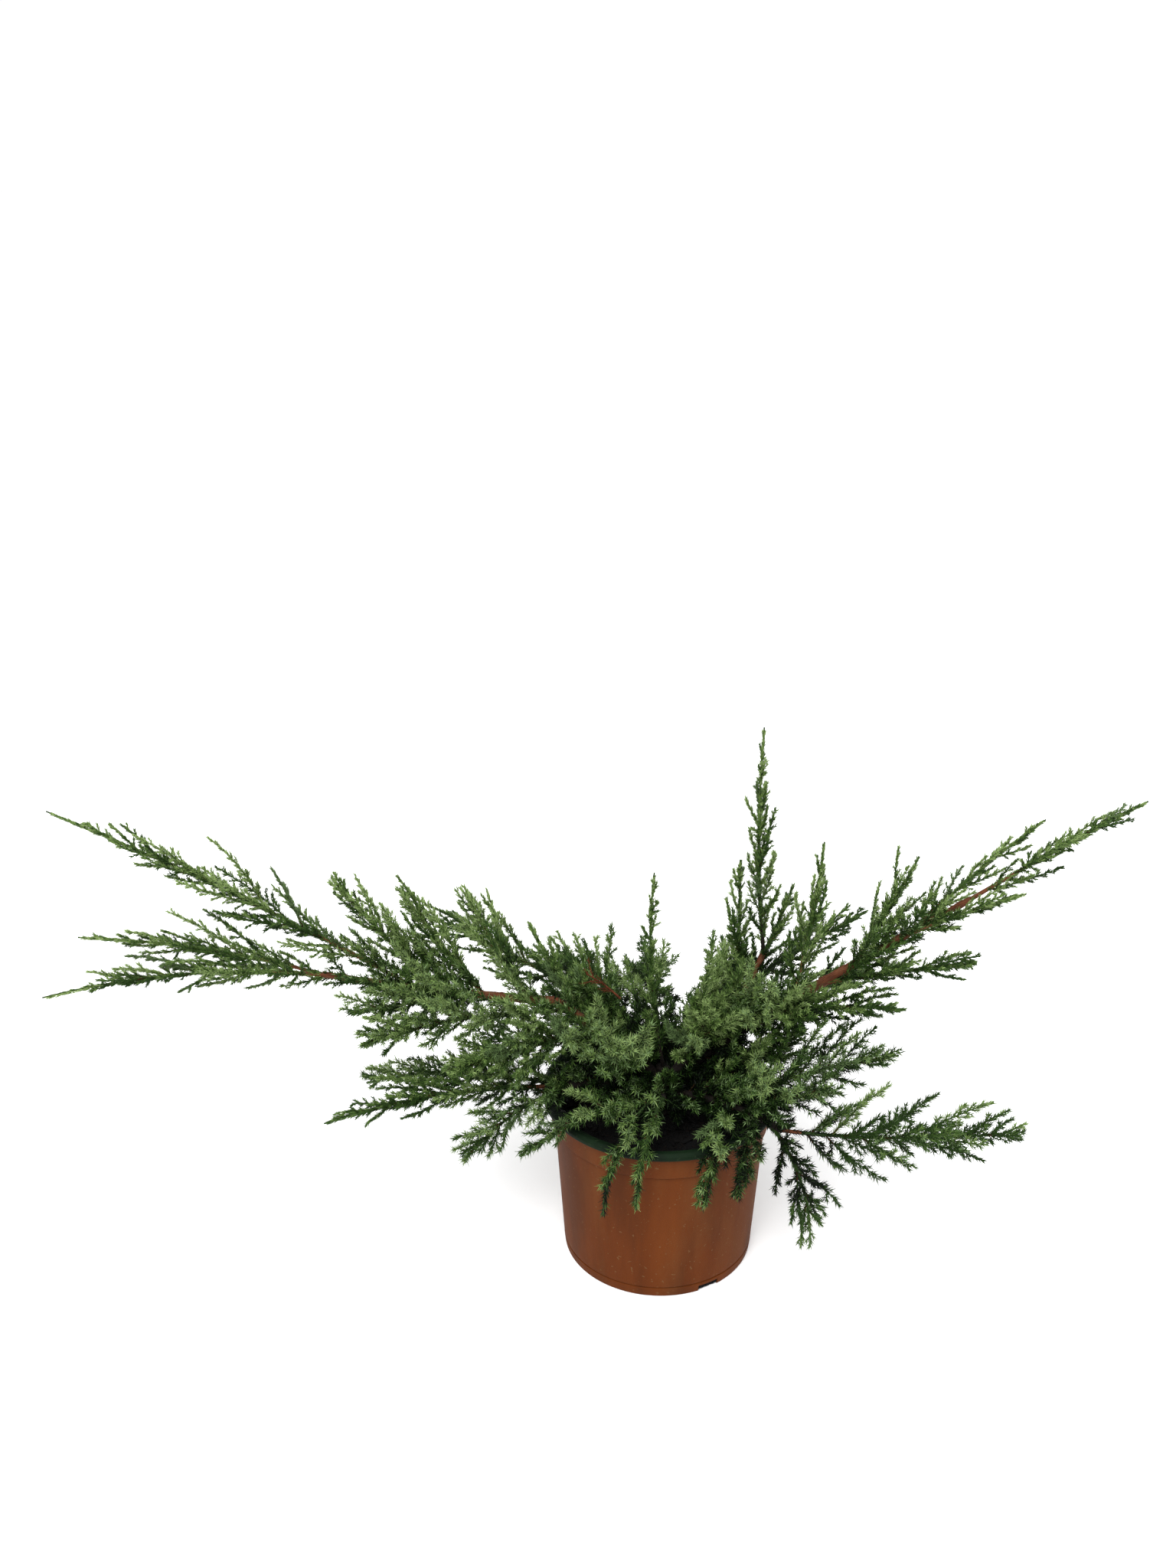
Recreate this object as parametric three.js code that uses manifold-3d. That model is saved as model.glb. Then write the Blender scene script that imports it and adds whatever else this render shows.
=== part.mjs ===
// Spreading juniper in its nursery pot.
//
// Millimetres, +Z up, origin at the centre of the flat underside of the pot, front of the plant
// towards -Y. A short leaning stem stands on the potting mix and forks into tapering boughs. Every
// bough carries foliage masses: leafy plumes, each with one stem, forward-pointing side shoots and
// shorter shoots on those, that keep to the space round their own stem.

import * as THREE from 'three';
import { mergeVertices } from 'three/addons/utils/BufferGeometryUtils.js';
import Module from 'manifold-3d';

const wasm = await Module();
wasm.setup();

// ---------------------------------------------------------------- driving dimensions

const CLEARANCE = 0.3; // between touching pieces

const POT = {
  height: 210,
  facets: 36,
  baseRadius: 109, // at the underside
  waistRadius: 120, // under the collar
  collarRadius: 123.5, // at the foot of the collar, the wider band below the lip
  shoulderRadius: 126.5, // where the collar meets the lip
  collarLine: 171, // height of the step out to the collar
  wallTop: 206.7,
  wall: 2.6,
  floor: 4,
  footLine: 13, // height of the thin line moulded above the foot
  lineStep: 0.9,
};
const LIP = { radius: 134, skirt: 8, thickness: 2.6, tuck: 11 };
const NOTCH = { count: 2, first: 120, width: 26, depth: 22, height: 8 };
const MIX = { edge: 168, crown: 180, seat: 22 };

const STEM = { tip: [3, 2, 234], arch: 4, root: 9.5, end: 8, flare: 8, flareHeight: 12, sides: 10 };

const PATH_STEPS = 16;
const BOUGH_SIDES = 6;
const BOUGH_RINGS = 5;
const PLUME_SIDES = 3;
const PLUME_RINGS = 6;

// Each bough leaves its parent `at` a fraction of the parent's length and runs to its `tip`
// [right, back, up]. On the way its climb falls evenly by `arch` degrees; it sweeps upwards where
// that is negative.
const BOUGHS = {
  left_riser: { on: 'stem', at: 0.66, tip: [-120, 10, 315], arch: 10, root: 6.5, end: 5.4 },
  left_bough: { on: 'left_riser', at: 1, tip: [-375, 0, 355], arch: -6, root: 5.3, end: 3.2 },
  right_bough: { on: 'stem', at: 0.66, tip: [335, 15, 440], arch: 5, root: 6.8, end: 3.2 },
  spire_bough: { on: 'right_bough', at: 0.16, tip: [115, 40, 360], arch: -14, root: 4.6, end: 3.4 },
  low_left_bough: { on: 'stem', at: 0.36, tip: [-130, -55, 245], arch: 18, root: 4.6, end: 3.4 },
  low_right_bough: { on: 'stem', at: 0.36, tip: [128, -100, 219], arch: 34, root: 4.8, end: 3.6 },
  back_left_bough: { on: 'stem', at: 0.4, tip: [-90, 85, 280], arch: 12, root: 4.6, end: 3.4 },
  back_right_bough: { on: 'stem', at: 0.4, tip: [85, 90, 275], arch: 12, root: 4.6, end: 3.4 },
  back_low_bough: { on: 'stem', at: 0.26, tip: [0, 115, 235], arch: 14, root: 4.2, end: 3.2 },
  front_bough: { on: 'stem', at: 0.44, tip: [0, -70, 240], arch: 10, root: 4, end: 3.2 },
};

// A foliage mass is placed as a bough is. `spray` is the length of its longest side shoots.
const MASSES = {
  left_tip: { on: 'left_bough', at: 1, tip: [-630, -25, 415], arch: 16, spray: 84 },
  left_upper: { on: 'left_bough', at: 0.6, tip: [-675, 60, 525], arch: 8, spray: 106 },
  left_lower: { on: 'left_bough', at: 0.86, tip: [-650, -100, 385], arch: 26, spray: 84 },
  left_fan_outer: { on: 'left_bough', at: 0.5, tip: [-366, 45, 452], arch: -6, spray: 86 },
  left_fan_middle: { on: 'left_bough', at: 0.3, tip: [-295, 80, 420], arch: -14, spray: 84 },
  left_fan_inner: { on: 'left_bough', at: 0.1, tip: [-220, 80, 415], arch: -24, spray: 76 },
  left_fan_root: { on: 'left_riser', at: 0.7, tip: [-150, 75, 380], arch: -10, spray: 48 },
  left_under_outer: { on: 'left_bough', at: 0.34, tip: [-335, -60, 340], arch: 8, spray: 84 },
  left_under_inner: { on: 'left_riser', at: 0.86, tip: [-320, -110, 335], arch: 20, spray: 86 },
  left_front: { on: 'left_riser', at: 0.5, tip: [-225, -135, 315], arch: 26, spray: 80 },
  low_left_tip: { on: 'low_left_bough', at: 1, tip: [-365, -110, 235], arch: 22, spray: 76 },
  low_left_upper: { on: 'low_left_bough', at: 0.88, tip: [-330, -25, 230], arch: 30, spray: 72 },
  low_left_drop: { on: 'low_left_bough', at: 0.76, tip: [-215, -135, 205], arch: 44, spray: 60 },
  right_tip: { on: 'right_bough', at: 1, tip: [515, 20, 555], arch: 5, spray: 84 },
  right_spire: { on: 'right_bough', at: 0.44, tip: [175, 35, 500], arch: -16, spray: 64 },
  right_upper_middle: { on: 'right_bough', at: 0.64, tip: [285, 60, 470], arch: -10, spray: 68 },
  right_parallel: { on: 'right_bough', at: 0.82, tip: [420, 60, 515], arch: 12, spray: 68 },
  right_under: { on: 'right_bough', at: 0.78, tip: [385, -20, 465], arch: 8, spray: 60 },
  right_side_upper: { on: 'right_bough', at: 0.52, tip: [340, -20, 380], arch: 8, spray: 80 },
  right_side_lower: { on: 'right_bough', at: 0.36, tip: [255, -75, 355], arch: 18, spray: 78 },
  right_side_back: { on: 'right_bough', at: 0.3, tip: [250, 110, 300], arch: 14, spray: 80 },
  right_side_low: { on: 'low_right_bough', at: 0.5, tip: [250, -85, 305], arch: 14, spray: 78 },
  right_front: { on: 'low_right_bough', at: 0.7, tip: [185, -125, 284], arch: 16, spray: 58 },
  low_right_tip: { on: 'low_right_bough', at: 1, tip: [384, -112, 226], arch: -16, spray: 88 },
  low_right_drop: { on: 'low_right_bough', at: 0.9, tip: [158, -142, 118], arch: 58, spray: 70 },
  spire: { on: 'spire_bough', at: 1, tip: [105, 45, 630], arch: -10, spray: 52 },
  spire_right: { on: 'spire_bough', at: 0.82, tip: [150, 80, 425], arch: -14, spray: 62 },
  spire_left: { on: 'spire_bough', at: 0.5, tip: [88, 68, 462], arch: -18, spray: 62 },
  centre_left: { on: 'stem', at: 1, tip: [-10, 20, 470], arch: -26, spray: 42 },
  mound_left: { on: 'left_riser', at: 0.34, tip: [-100, 30, 340], arch: -6, spray: 50 },
  mound_middle: { on: 'right_bough', at: 0.1, tip: [50, -60, 335], arch: 24, spray: 84 },
  mound_right: { on: 'right_bough', at: 0.3, tip: [150, -75, 345], arch: 26, spray: 80 },
  mound_front: { on: 'low_left_bough', at: 0.34, tip: [-55, -85, 310], arch: 26, spray: 76 },
  mound_low_right: { on: 'low_right_bough', at: 0.26, tip: [156, -8, 282], arch: 6, spray: 78 },
  front_far_left: { on: 'front_bough', at: 0.4, tip: [-155, -140, 215], arch: 30, spray: 48 },
  front_left: { on: 'front_bough', at: 0.74, tip: [-66, -160, 152], arch: 112, spray: 60 },
  front_middle: { on: 'front_bough', at: 1, tip: [-31, -164, 163], arch: 100, spray: 56 },
  front_right: { on: 'low_right_bough', at: 0.58, tip: [42, -164, 170], arch: 76, spray: 62 },
  back_left: { on: 'back_left_bough', at: 1, tip: [-275, 190, 325], arch: 10, spray: 92 },
  back_left_fan: { on: 'back_left_bough', at: 0.5, tip: [-120, 215, 245], arch: 30, spray: 80 },
  back_right: { on: 'back_right_bough', at: 1, tip: [260, 205, 325], arch: 10, spray: 92 },
  back_right_fan: { on: 'back_right_bough', at: 0.5, tip: [110, 225, 242], arch: 30, spray: 80 },
  back_low_left: { on: 'back_low_bough', at: 0.66, tip: [-125, 230, 175], arch: 36, spray: 80 },
  back_low: { on: 'back_low_bough', at: 1, tip: [-10, 300, 190], arch: 36, spray: 80 },
  back_low_right: { on: 'back_low_bough', at: 0.54, tip: [140, 215, 170], arch: 36, spray: 80 },
  front_far_right: { on: 'low_right_bough', at: 0.8, tip: [76, -160, 178], arch: 76, spray: 60 },
};

// The rule by which the shoots of a mass stand on its stem.
const SHOOT = {
  spacing: 34, // along the stem
  fewest: 4,
  most: 10,
  first: 0.14, // place of the first and of the last, as fractions of the stem
  last: 0.94,
  turn: 137.5, // from each shoot to the next, round the stem
  flatten: 0.8, // a plume is flatter than it is wide
  upturn: 0.28, // and its shoots lean upwards
  rootAngle: 40, // off the stem's own direction
  tipAngle: 20,
  taper: 1.4, // of the plume's outline towards its tip
  tries: [1, 0.72, 0.5], // shares of its length that a shoot may have to fit its space
  shortest: 20,
  sunk: 1.5, // of a shoot's root, inside what carries it
  girth: 0.24, // greatest width over length
  thinnest: 6,
  thickest: 17,
  flatness: 0.42, // thickness over width
  belly: 0.34, // place of the greatest width
};
const TWIG = { places: [0.28, 0.5], share: 0.85, angle: 32, carrier: 46 };
const STRAIGHT = 1e-3; // the arch of a straight line
const PLUME = { root: 3.8, tip: 1.3 };

// ---------------------------------------------------------------- materials

const plastic = (color) => new THREE.MeshStandardMaterial({ color, roughness: 0.55, metalness: 0 });
const terracotta = plastic(0x8a4a26);
const greenLip = plastic(0x1f3d26);
const pottingMix = new THREE.MeshStandardMaterial({ color: 0x2c2119, roughness: 0.95, metalness: 0 });
const bark = new THREE.MeshStandardMaterial({ color: 0x6e3a22, roughness: 0.85, metalness: 0 });
const foliage = new THREE.MeshStandardMaterial({ color: 0x4a6b42, roughness: 0.7, metalness: 0 });

// ---------------------------------------------------------------- solids

/** The solid bounded by a closed three.js geometry. */
function solidOf(geometry) {
  geometry.deleteAttribute('normal');
  geometry.deleteAttribute('uv');
  const merged = mergeVertices(geometry, 1e-4);
  const corners = merged.index.array;
  const faces = [];
  for (let i = 0; i < corners.length; i += 3) {
    const [a, b, c] = corners.slice(i, i + 3);
    if (a !== b && b !== c && c !== a) {
      faces.push(a, b, c);
    }
  }
  const mesh = new wasm.Mesh({
    numProp: 3,
    vertProperties: new Float32Array(merged.attributes.position.array),
    triVerts: new Uint32Array(faces),
  });
  return new wasm.Manifold(mesh);
}

/** The three.js geometry of a solid. */
function geometryOf(solid) {
  const { vertProperties, triVerts } = solid.getMesh();
  const geometry = new THREE.BufferGeometry();
  geometry.setAttribute('position', new THREE.BufferAttribute(vertProperties, 3));
  geometry.setIndex(new THREE.BufferAttribute(triVerts, 1));
  geometry.computeVertexNormals();
  return geometry;
}

/** The largest separate body of a solid, without loose scraps and with sealed hollows filled. */
function mainBody(solid) {
  const bodies = solid.decompose();
  return bodies.reduce((best, body) => (body.volume() > best.volume() ? body : best));
}

/** A solid of revolution about +Z, from a profile of [radius, height] pairs. */
function turned(profile, facets = POT.facets) {
  const points = profile.map(([radius, height]) => new THREE.Vector2(radius, height));
  const geometry = new THREE.LatheGeometry(points, facets);
  geometry.rotateX(Math.PI / 2);
  return solidOf(geometry);
}

// ---------------------------------------------------------------- paths

const radians = THREE.MathUtils.degToRad;
const degrees = THREE.MathUtils.radToDeg;
const lerp = THREE.MathUtils.lerp;

/** Unit vector of a compass heading and a climb, both in degrees. */
function pointing(heading, climb) {
  const [turn, rise] = [radians(heading), radians(climb)];
  return new THREE.Vector3(Math.cos(turn) * Math.cos(rise), Math.sin(turn) * Math.cos(rise), Math.sin(rise));
}

/** A circular arc in an upright plane from `start` to `tip`, on which the climb falls by `arch` degrees. */
class Sweep {
  constructor(start, { tip, arch }) {
    const chord = new THREE.Vector3(...tip).sub(start);
    const half = radians(arch) / 2;
    this.heading = degrees(Math.atan2(chord.y, chord.x));
    this.climb = degrees(Math.asin(chord.z / chord.length())) + arch / 2;
    this.arch = arch;
    this.length = (chord.length() * half) / Math.sin(half);
    this.points = [start.clone()];
    for (let i = 0; i < PATH_STEPS; i += 1) {
      const step = this.along((i + 0.5) / PATH_STEPS).multiplyScalar(this.length / PATH_STEPS);
      this.points.push(step.add(this.points[i]));
    }
  }

  /** Point at a fraction of the length. */
  at(place) {
    const i = Math.min(Math.floor(place * PATH_STEPS), PATH_STEPS - 1);
    return this.points[i].clone().lerp(this.points[i + 1], place * PATH_STEPS - i);
  }

  along(place) {
    return pointing(this.heading, this.climb - this.arch * place);
  }

  across() {
    return pointing(this.heading + 90, 0);
  }

  above(place) {
    return this.along(place).cross(this.across());
  }

  /** Distance from a point to the line, and the place on the line where it is least. */
  nearest(point) {
    const [section, foot] = [new THREE.Line3(), new THREE.Vector3()];
    let best = { distance: Infinity, place: 0 };
    for (let i = 0; i < PATH_STEPS; i += 1) {
      section.set(this.points[i], this.points[i + 1]);
      section.closestPointToPoint(point, true, foot);
      const distance = foot.distanceTo(point);
      if (distance < best.distance) {
        best = { distance, place: (i + 0.5) / PATH_STEPS };
      }
    }
    return best;
  }
}

/** A limb bent onto a path: a turned taper, `grow` thicker and longer all round. */
function limbSolid(path, radiusAt, sides, rings, grow = 0) {
  const overrun = grow / path.length;
  const profile = [new THREE.Vector2(0, -overrun)];
  for (let i = 0; i <= rings; i += 1) {
    const place = i / rings;
    profile.push(new THREE.Vector2(radiusAt(place) + grow, lerp(-overrun, 1 + overrun, place)));
  }
  profile.push(new THREE.Vector2(0, 1 + overrun));
  const geometry = new THREE.LatheGeometry(profile, sides);
  const position = geometry.attributes.position;
  for (let i = 0; i < position.count; i += 1) {
    const place = THREE.MathUtils.clamp(position.getY(i), 0, 1);
    const spill = (position.getY(i) - place) * path.length;
    const point = path.at(place);
    point.addScaledVector(path.above(place), position.getX(i));
    point.addScaledVector(path.across(), position.getZ(i));
    point.addScaledVector(path.along(place), spill);
    position.setXYZ(i, ...point);
  }
  return solidOf(geometry);
}

/** A leafy shoot: a flattened four-sided spindle of eight faces, its broad side to the top of the spray. */
function shootSolid({ root, direction, above, length, width }) {
  const profile = [
    new THREE.Vector2(0, 0),
    new THREE.Vector2(width / 2, length * SHOOT.belly),
    new THREE.Vector2(0, length),
  ];
  const geometry = new THREE.LatheGeometry(profile, 4);
  geometry.scale(1, 1, SHOOT.flatness);
  const side = direction.clone().cross(above).normalize();
  geometry.applyMatrix4(new THREE.Matrix4().makeBasis(side, direction, side.clone().cross(direction)));
  geometry.translate(...root);
  return solidOf(geometry);
}

// ---------------------------------------------------------------- pot and mix

/** Outer radius of the pot wall at a height: one taper up to the collar line, a second above it. */
function wallRadius(height) {
  const rise = (height - POT.collarLine) / (POT.wallTop - POT.collarLine);
  return rise > 0
    ? lerp(POT.collarRadius, POT.shoulderRadius, rise)
    : lerp(POT.baseRadius, POT.waistRadius, height / POT.collarLine);
}

/** The tapering wall and floor, with a line above the foot, the collar and notches round the foot. */
function potWall() {
  const inside = (height) => wallRadius(height) - POT.wall;
  const [below, above] = [POT.collarLine - 1, POT.collarLine + 1];
  const shell = turned([
    [0, 0],
    [POT.baseRadius - 1.6, 0],
    [POT.baseRadius - 0.3, 1.4],
    [wallRadius(POT.footLine) - POT.lineStep, POT.footLine - 1],
    [wallRadius(POT.footLine), POT.footLine + 1],
    [wallRadius(below), below],
    [wallRadius(above), above],
    [POT.shoulderRadius, POT.wallTop],
    [inside(POT.wallTop), POT.wallTop],
    [inside(above), above + 1],
    [inside(below), below + 1],
    [inside(POT.floor + 6), POT.floor + 6],
    [inside(POT.floor) - 5, POT.floor],
    [0, POT.floor],
  ]);
  const cutters = [];
  for (let i = 0; i < NOTCH.count; i += 1) {
    const turn = radians(NOTCH.first + (360 * i) / NOTCH.count);
    const box = new THREE.BoxGeometry(NOTCH.depth, NOTCH.width, 2 * NOTCH.height);
    box.translate(POT.baseRadius, 0, 0);
    box.rotateZ(turn);
    cutters.push(solidOf(box));
  }
  return cutters.reduce((wall, cutter) => wall.subtract(cutter), shell);
}

/** The rolled lip: a ring hooked over the top of the wall. */
function potLip() {
  const gap = CLEARANCE;
  const tuckFoot = POT.wallTop - LIP.tuck;
  const inner = (height) => wallRadius(height) - POT.wall - gap;
  return turned([
    [inner(tuckFoot) - LIP.thickness, tuckFoot],
    [inner(tuckFoot), tuckFoot],
    [inner(POT.wallTop), POT.wallTop + gap],
    [LIP.radius - LIP.thickness, POT.wallTop + gap],
    [LIP.radius - LIP.thickness, POT.height - LIP.skirt],
    [LIP.radius - 0.6, POT.height - LIP.skirt],
    [LIP.radius, POT.height - 3],
    [LIP.radius - 3, POT.height],
    [inner(POT.wallTop) - 0.6, POT.height],
    [inner(POT.wallTop) - LIP.thickness, POT.height - 2],
    [inner(tuckFoot) - LIP.thickness, tuckFoot],
  ]);
}

/** The potting mix: it fills the pot and rises a little to the foot of the stem. */
function pottingMixSolid() {
  const side = (height) => wallRadius(height) - POT.wall - CLEARANCE;
  const bed = POT.floor + CLEARANCE;
  return turned([
    [0, bed],
    [side(bed) - 5, bed],
    [side(bed + 6) - 0.6, bed + 6],
    [side(MIX.edge), MIX.edge],
    [POT.baseRadius * 0.6, lerp(MIX.edge, MIX.crown, 0.75)],
    [MIX.seat, MIX.crown],
    [0, MIX.crown],
  ]);
}

// ---------------------------------------------------------------- the plant

const stemPath = new Sweep(new THREE.Vector3(0, 0, MIX.crown + CLEARANCE), STEM);

/** Radius of the stem: an even taper with a root flare at its foot. */
function stemRadius(place) {
  const flare = STEM.flare * Math.exp((-place * stemPath.length) / STEM.flareHeight);
  return lerp(STEM.root, STEM.end, place) + flare;
}

/** The stem, cut flat at its foot where it stands on the mix. */
function stemSolid(grow = 0) {
  const solid = limbSolid(stemPath, stemRadius, STEM.sides, BOUGH_RINGS, grow);
  const below = new THREE.BoxGeometry(100, 100, 40);
  below.translate(0, 0, stemPath.points[0].z - 20);
  return grow ? solid : solid.subtract(solidOf(below));
}

const limbs = { stem: { path: stemPath, radiusAt: stemRadius, solid: stemSolid, on: null } };
for (const [name, size] of Object.entries(BOUGHS)) {
  const path = new Sweep(limbs[size.on].path.at(size.at), size);
  const radiusAt = (place) => lerp(size.root, size.end, place);
  const solid = (grow) => limbSolid(path, radiusAt, BOUGH_SIDES, BOUGH_RINGS, grow);
  limbs[name] = { path, radiusAt, solid, on: size.on };
}

const plumes = Object.entries(MASSES).map(([name, size], index) => {
  const path = new Sweep(limbs[size.on].path.at(size.at), size);
  return { name, index, path, on: size.on, spray: size.spray };
});

/** A repeatable number from 0 to 1 for one shoot of one plume. */
function chance(plume, number) {
  const wave = Math.sin(plume.index * 12.9898 + number * 78.233) * 43758.5453;
  return wave - Math.floor(wave);
}

/** Whether a point of some girth would touch the pot or the mix in it. */
function inPot(point, girth) {
  const out = Math.hypot(point.x, point.y);
  const mouth = POT.shoulderRadius - LIP.thickness * 3;
  const floor = out > mouth - girth ? POT.height : MIX.crown;
  return out < LIP.radius + girth && point.z < floor + girth / 2 + CLEARANCE;
}

/** Whether a shoot stays nearer to its own plume's stem than to any other, and clear of every limb. */
function inOwnSpace(plume, { root, direction, length, width }) {
  for (const reach of [0.3, 0.65, 1]) {
    const point = root.clone().addScaledVector(direction, length * reach);
    const girth = reach < 1 ? width : width / 4;
    const own = plume.path.nearest(point).distance;
    const crowded = plumes.some((other) => {
      const away = other.path.nearest(point).distance;
      return other !== plume && away < own + girth + 2 * CLEARANCE;
    });
    const touching = Object.values(limbs).some(({ path, radiusAt }) => {
      const { distance, place } = path.nearest(point);
      return distance < radiusAt(place) + girth / 2 + 2 * CLEARANCE;
    });
    if (crowded || touching || inPot(point, girth)) {
      return false;
    }
  }
  return true;
}

/** A shoot of a given length that leaves a line sideways, its root sunk in it. */
function sideShoot(line, place, roll, angle, length) {
  const round = line.across().multiplyScalar(Math.cos(roll));
  round.addScaledVector(line.above(place), Math.sin(roll) * SHOOT.flatten + SHOOT.upturn);
  const direction = line.along(place).multiplyScalar(Math.cos(radians(angle)));
  direction.addScaledVector(round.normalize(), Math.sin(radians(angle))).normalize();
  const root = line.at(place).addScaledVector(direction, -SHOOT.sunk);
  const width = THREE.MathUtils.clamp(length * SHOOT.girth, SHOOT.thinnest, SHOOT.thickest);
  return { root, direction, above: line.above(place), length, width };
}

/** The longest shoot, of the lengths that a plume tries, that fits in its own space; or none. */
function fitted(plume, line, place, roll, angle, length) {
  const tries = SHOOT.tries.map((share) => sideShoot(line, place, roll, angle, length * share));
  return tries.filter((shoot) => shoot.length > SHOOT.shortest && inOwnSpace(plume, shoot)).slice(0, 1);
}

/** Every shoot of a plume: side shoots spiralling up its stem, then twigs on each long one. */
function shootsOf(plume) {
  const { path, spray } = plume;
  const wanted = Math.round(path.length / SHOOT.spacing);
  const count = THREE.MathUtils.clamp(wanted, SHOOT.fewest, SHOOT.most);
  const shoots = [];
  for (let i = 0; i < count; i += 1) {
    const place = lerp(SHOOT.first, SHOOT.last, (i + 0.5) / count);
    const roll = radians(SHOOT.turn * (i + plume.index));
    const angle = lerp(SHOOT.rootAngle, SHOOT.tipAngle, place);
    const fullness = Math.sin(Math.PI * (0.3 + 0.66 * place)) ** SHOOT.taper;
    const length = spray * fullness * (0.85 + 0.3 * chance(plume, i)) * (1 + 0.2 * Math.sin(roll));
    for (const shoot of fitted(plume, path, place, roll, angle, length)) {
      shoots.push(shoot, ...twigsOf(plume, shoot, i));
    }
  }
  return shoots;
}

/** The twigs of a long side shoot, one to each side. */
function twigsOf(plume, shoot, number) {
  if (shoot.length < TWIG.carrier) {
    return [];
  }
  const tip = shoot.root.clone().addScaledVector(shoot.direction, shoot.length).toArray();
  const line = new Sweep(shoot.root, { tip, arch: STRAIGHT });
  return TWIG.places.flatMap((place, side) => {
    const roll = Math.PI * side + 0.9 * chance(plume, number + 20);
    return fitted(plume, line, place, roll, TWIG.angle, shoot.length * TWIG.share * (1 - place));
  });
}

/** A foliage mass: its stem, cut clear of the limb that carries it, with every shoot fused on. */
function massSolid(plume) {
  const girth = (place) => lerp(PLUME.root, PLUME.tip, place ** 1.5);
  const stem = limbSolid(plume.path, girth, PLUME_SIDES, PLUME_RINGS).subtract(limbs[plume.on].solid(CLEARANCE));
  const leafy = shootsOf(plume).reduce((solid, shoot) => solid.add(shootSolid(shoot)), mainBody(stem));
  return mainBody(leafy);
}

/** A bough, cut clear of the limb that carries it. */
function boughSolid({ solid, on }) {
  return mainBody(solid(0).subtract(limbs[on].solid(CLEARANCE)));
}

// ---------------------------------------------------------------- assembly

const group = new THREE.Group();

/** Adds one named piece to the group. */
function place(name, solid, material) {
  const mesh = new THREE.Mesh(geometryOf(solid), material);
  mesh.name = name;
  group.add(mesh);
}

place('pot_wall', potWall(), terracotta);
place('pot_lip', potLip(), greenLip);
place('potting_mix', pottingMixSolid(), pottingMix);
place('stem', stemSolid(), bark);
for (const name of Object.keys(BOUGHS)) {
  place(name, boughSolid(limbs[name]), bark);
}
for (const plume of plumes) {
  place(`foliage_${plume.name}`, massSolid(plume), foliage);
}

export default group;
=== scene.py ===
"""Spreading juniper in its nursery pot: the visible meshes and finishes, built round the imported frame.

Sizes and places are millimetres in the frame of the solids (+Z up, origin at the centre of the pot's
underside, front towards -Y). They become metres where a mesh, a lamp or the camera is made.
"""

import logging
import math
import sys
from dataclasses import dataclass, field, fields, replace
from enum import Enum

import bpy
import numpy as np
from numpy.typing import NDArray
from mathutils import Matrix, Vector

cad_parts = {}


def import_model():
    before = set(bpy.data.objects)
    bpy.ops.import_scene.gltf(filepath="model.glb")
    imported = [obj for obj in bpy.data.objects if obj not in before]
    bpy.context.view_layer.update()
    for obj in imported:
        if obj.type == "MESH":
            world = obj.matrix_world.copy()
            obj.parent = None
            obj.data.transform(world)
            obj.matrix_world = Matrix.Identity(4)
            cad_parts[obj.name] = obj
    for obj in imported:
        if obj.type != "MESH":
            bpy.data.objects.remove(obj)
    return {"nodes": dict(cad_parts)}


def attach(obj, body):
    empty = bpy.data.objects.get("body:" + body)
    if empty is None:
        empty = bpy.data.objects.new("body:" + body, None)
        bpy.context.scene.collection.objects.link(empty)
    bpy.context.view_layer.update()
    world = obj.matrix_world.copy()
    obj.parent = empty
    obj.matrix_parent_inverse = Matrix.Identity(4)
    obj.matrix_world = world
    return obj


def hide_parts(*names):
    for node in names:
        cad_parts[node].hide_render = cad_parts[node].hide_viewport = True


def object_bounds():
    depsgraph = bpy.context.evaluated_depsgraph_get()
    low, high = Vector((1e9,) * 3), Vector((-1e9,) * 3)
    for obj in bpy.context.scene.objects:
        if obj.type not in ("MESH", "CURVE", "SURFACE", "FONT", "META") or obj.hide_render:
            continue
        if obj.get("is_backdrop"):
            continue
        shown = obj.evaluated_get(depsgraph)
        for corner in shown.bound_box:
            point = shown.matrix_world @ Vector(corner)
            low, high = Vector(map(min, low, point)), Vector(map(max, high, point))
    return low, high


Array = NDArray[np.float64]
Whole = NDArray[np.int64]
Colour = tuple[float, float, float, float]
Point = tuple[float, float, float]
Pair = tuple[float, float]
Socket = bpy.types.NodeSocket

MM = 0.001
TURN = 2 * math.pi
UP = np.array([0.0, 0.0, 1.0])
HALVES = [0, 1, 2, 0, 2, 3]  # the corners of a quad's two triangles
HUB = 0.4  # radius of the ring that a turned outline has on the axis
BODY = "root"

log = logging.getLogger("juniper")


# ---------------------------------------------------------------- small mathematics


def srgb(red: int, green: int, blue: int) -> Colour:
    """Linear colour of a screen colour: each channel over 255, raised to the power of 2.2."""
    return ((red / 255) ** 2.2, (green / 255) ** 2.2, (blue / 255) ** 2.2, 1.0)


def unit(vectors: Array) -> Array:
    """Each vector divided by its own length."""
    return vectors / np.linalg.norm(vectors, axis=-1, keepdims=True)


def lerp(start: Array | float, end: Array | float, share: Array | float) -> Array | float:
    """Start plus a share of the way to the end."""
    return start + (end - start) * share


def ranged(value: Array, start: float, end: float) -> Array:
    """Share of the way from start to end, (value - start) / (end - start), held between 0 and 1."""
    return np.clip((value - start) / (end - start), 0, 1)


def spread(count: Whole) -> tuple[Whole, Whole]:
    """Lists the items of several owners one after another.

    Args:
        count: how many items each owner has.

    Returns:
        The owner of every item, and the item's running number at that owner.
    """
    owner = np.repeat(np.arange(len(count)), count)
    number = np.arange(len(owner)) - np.repeat(np.cumsum(count) - count, count)
    return owner, number


def square_to(vectors: Array, axes: Array) -> Array:
    """Unit part of each vector that stands square to its axis: v - (v.a)a, over its length."""
    return unit(vectors - np.sum(vectors * axes, -1, keepdims=True) * axes)


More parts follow.
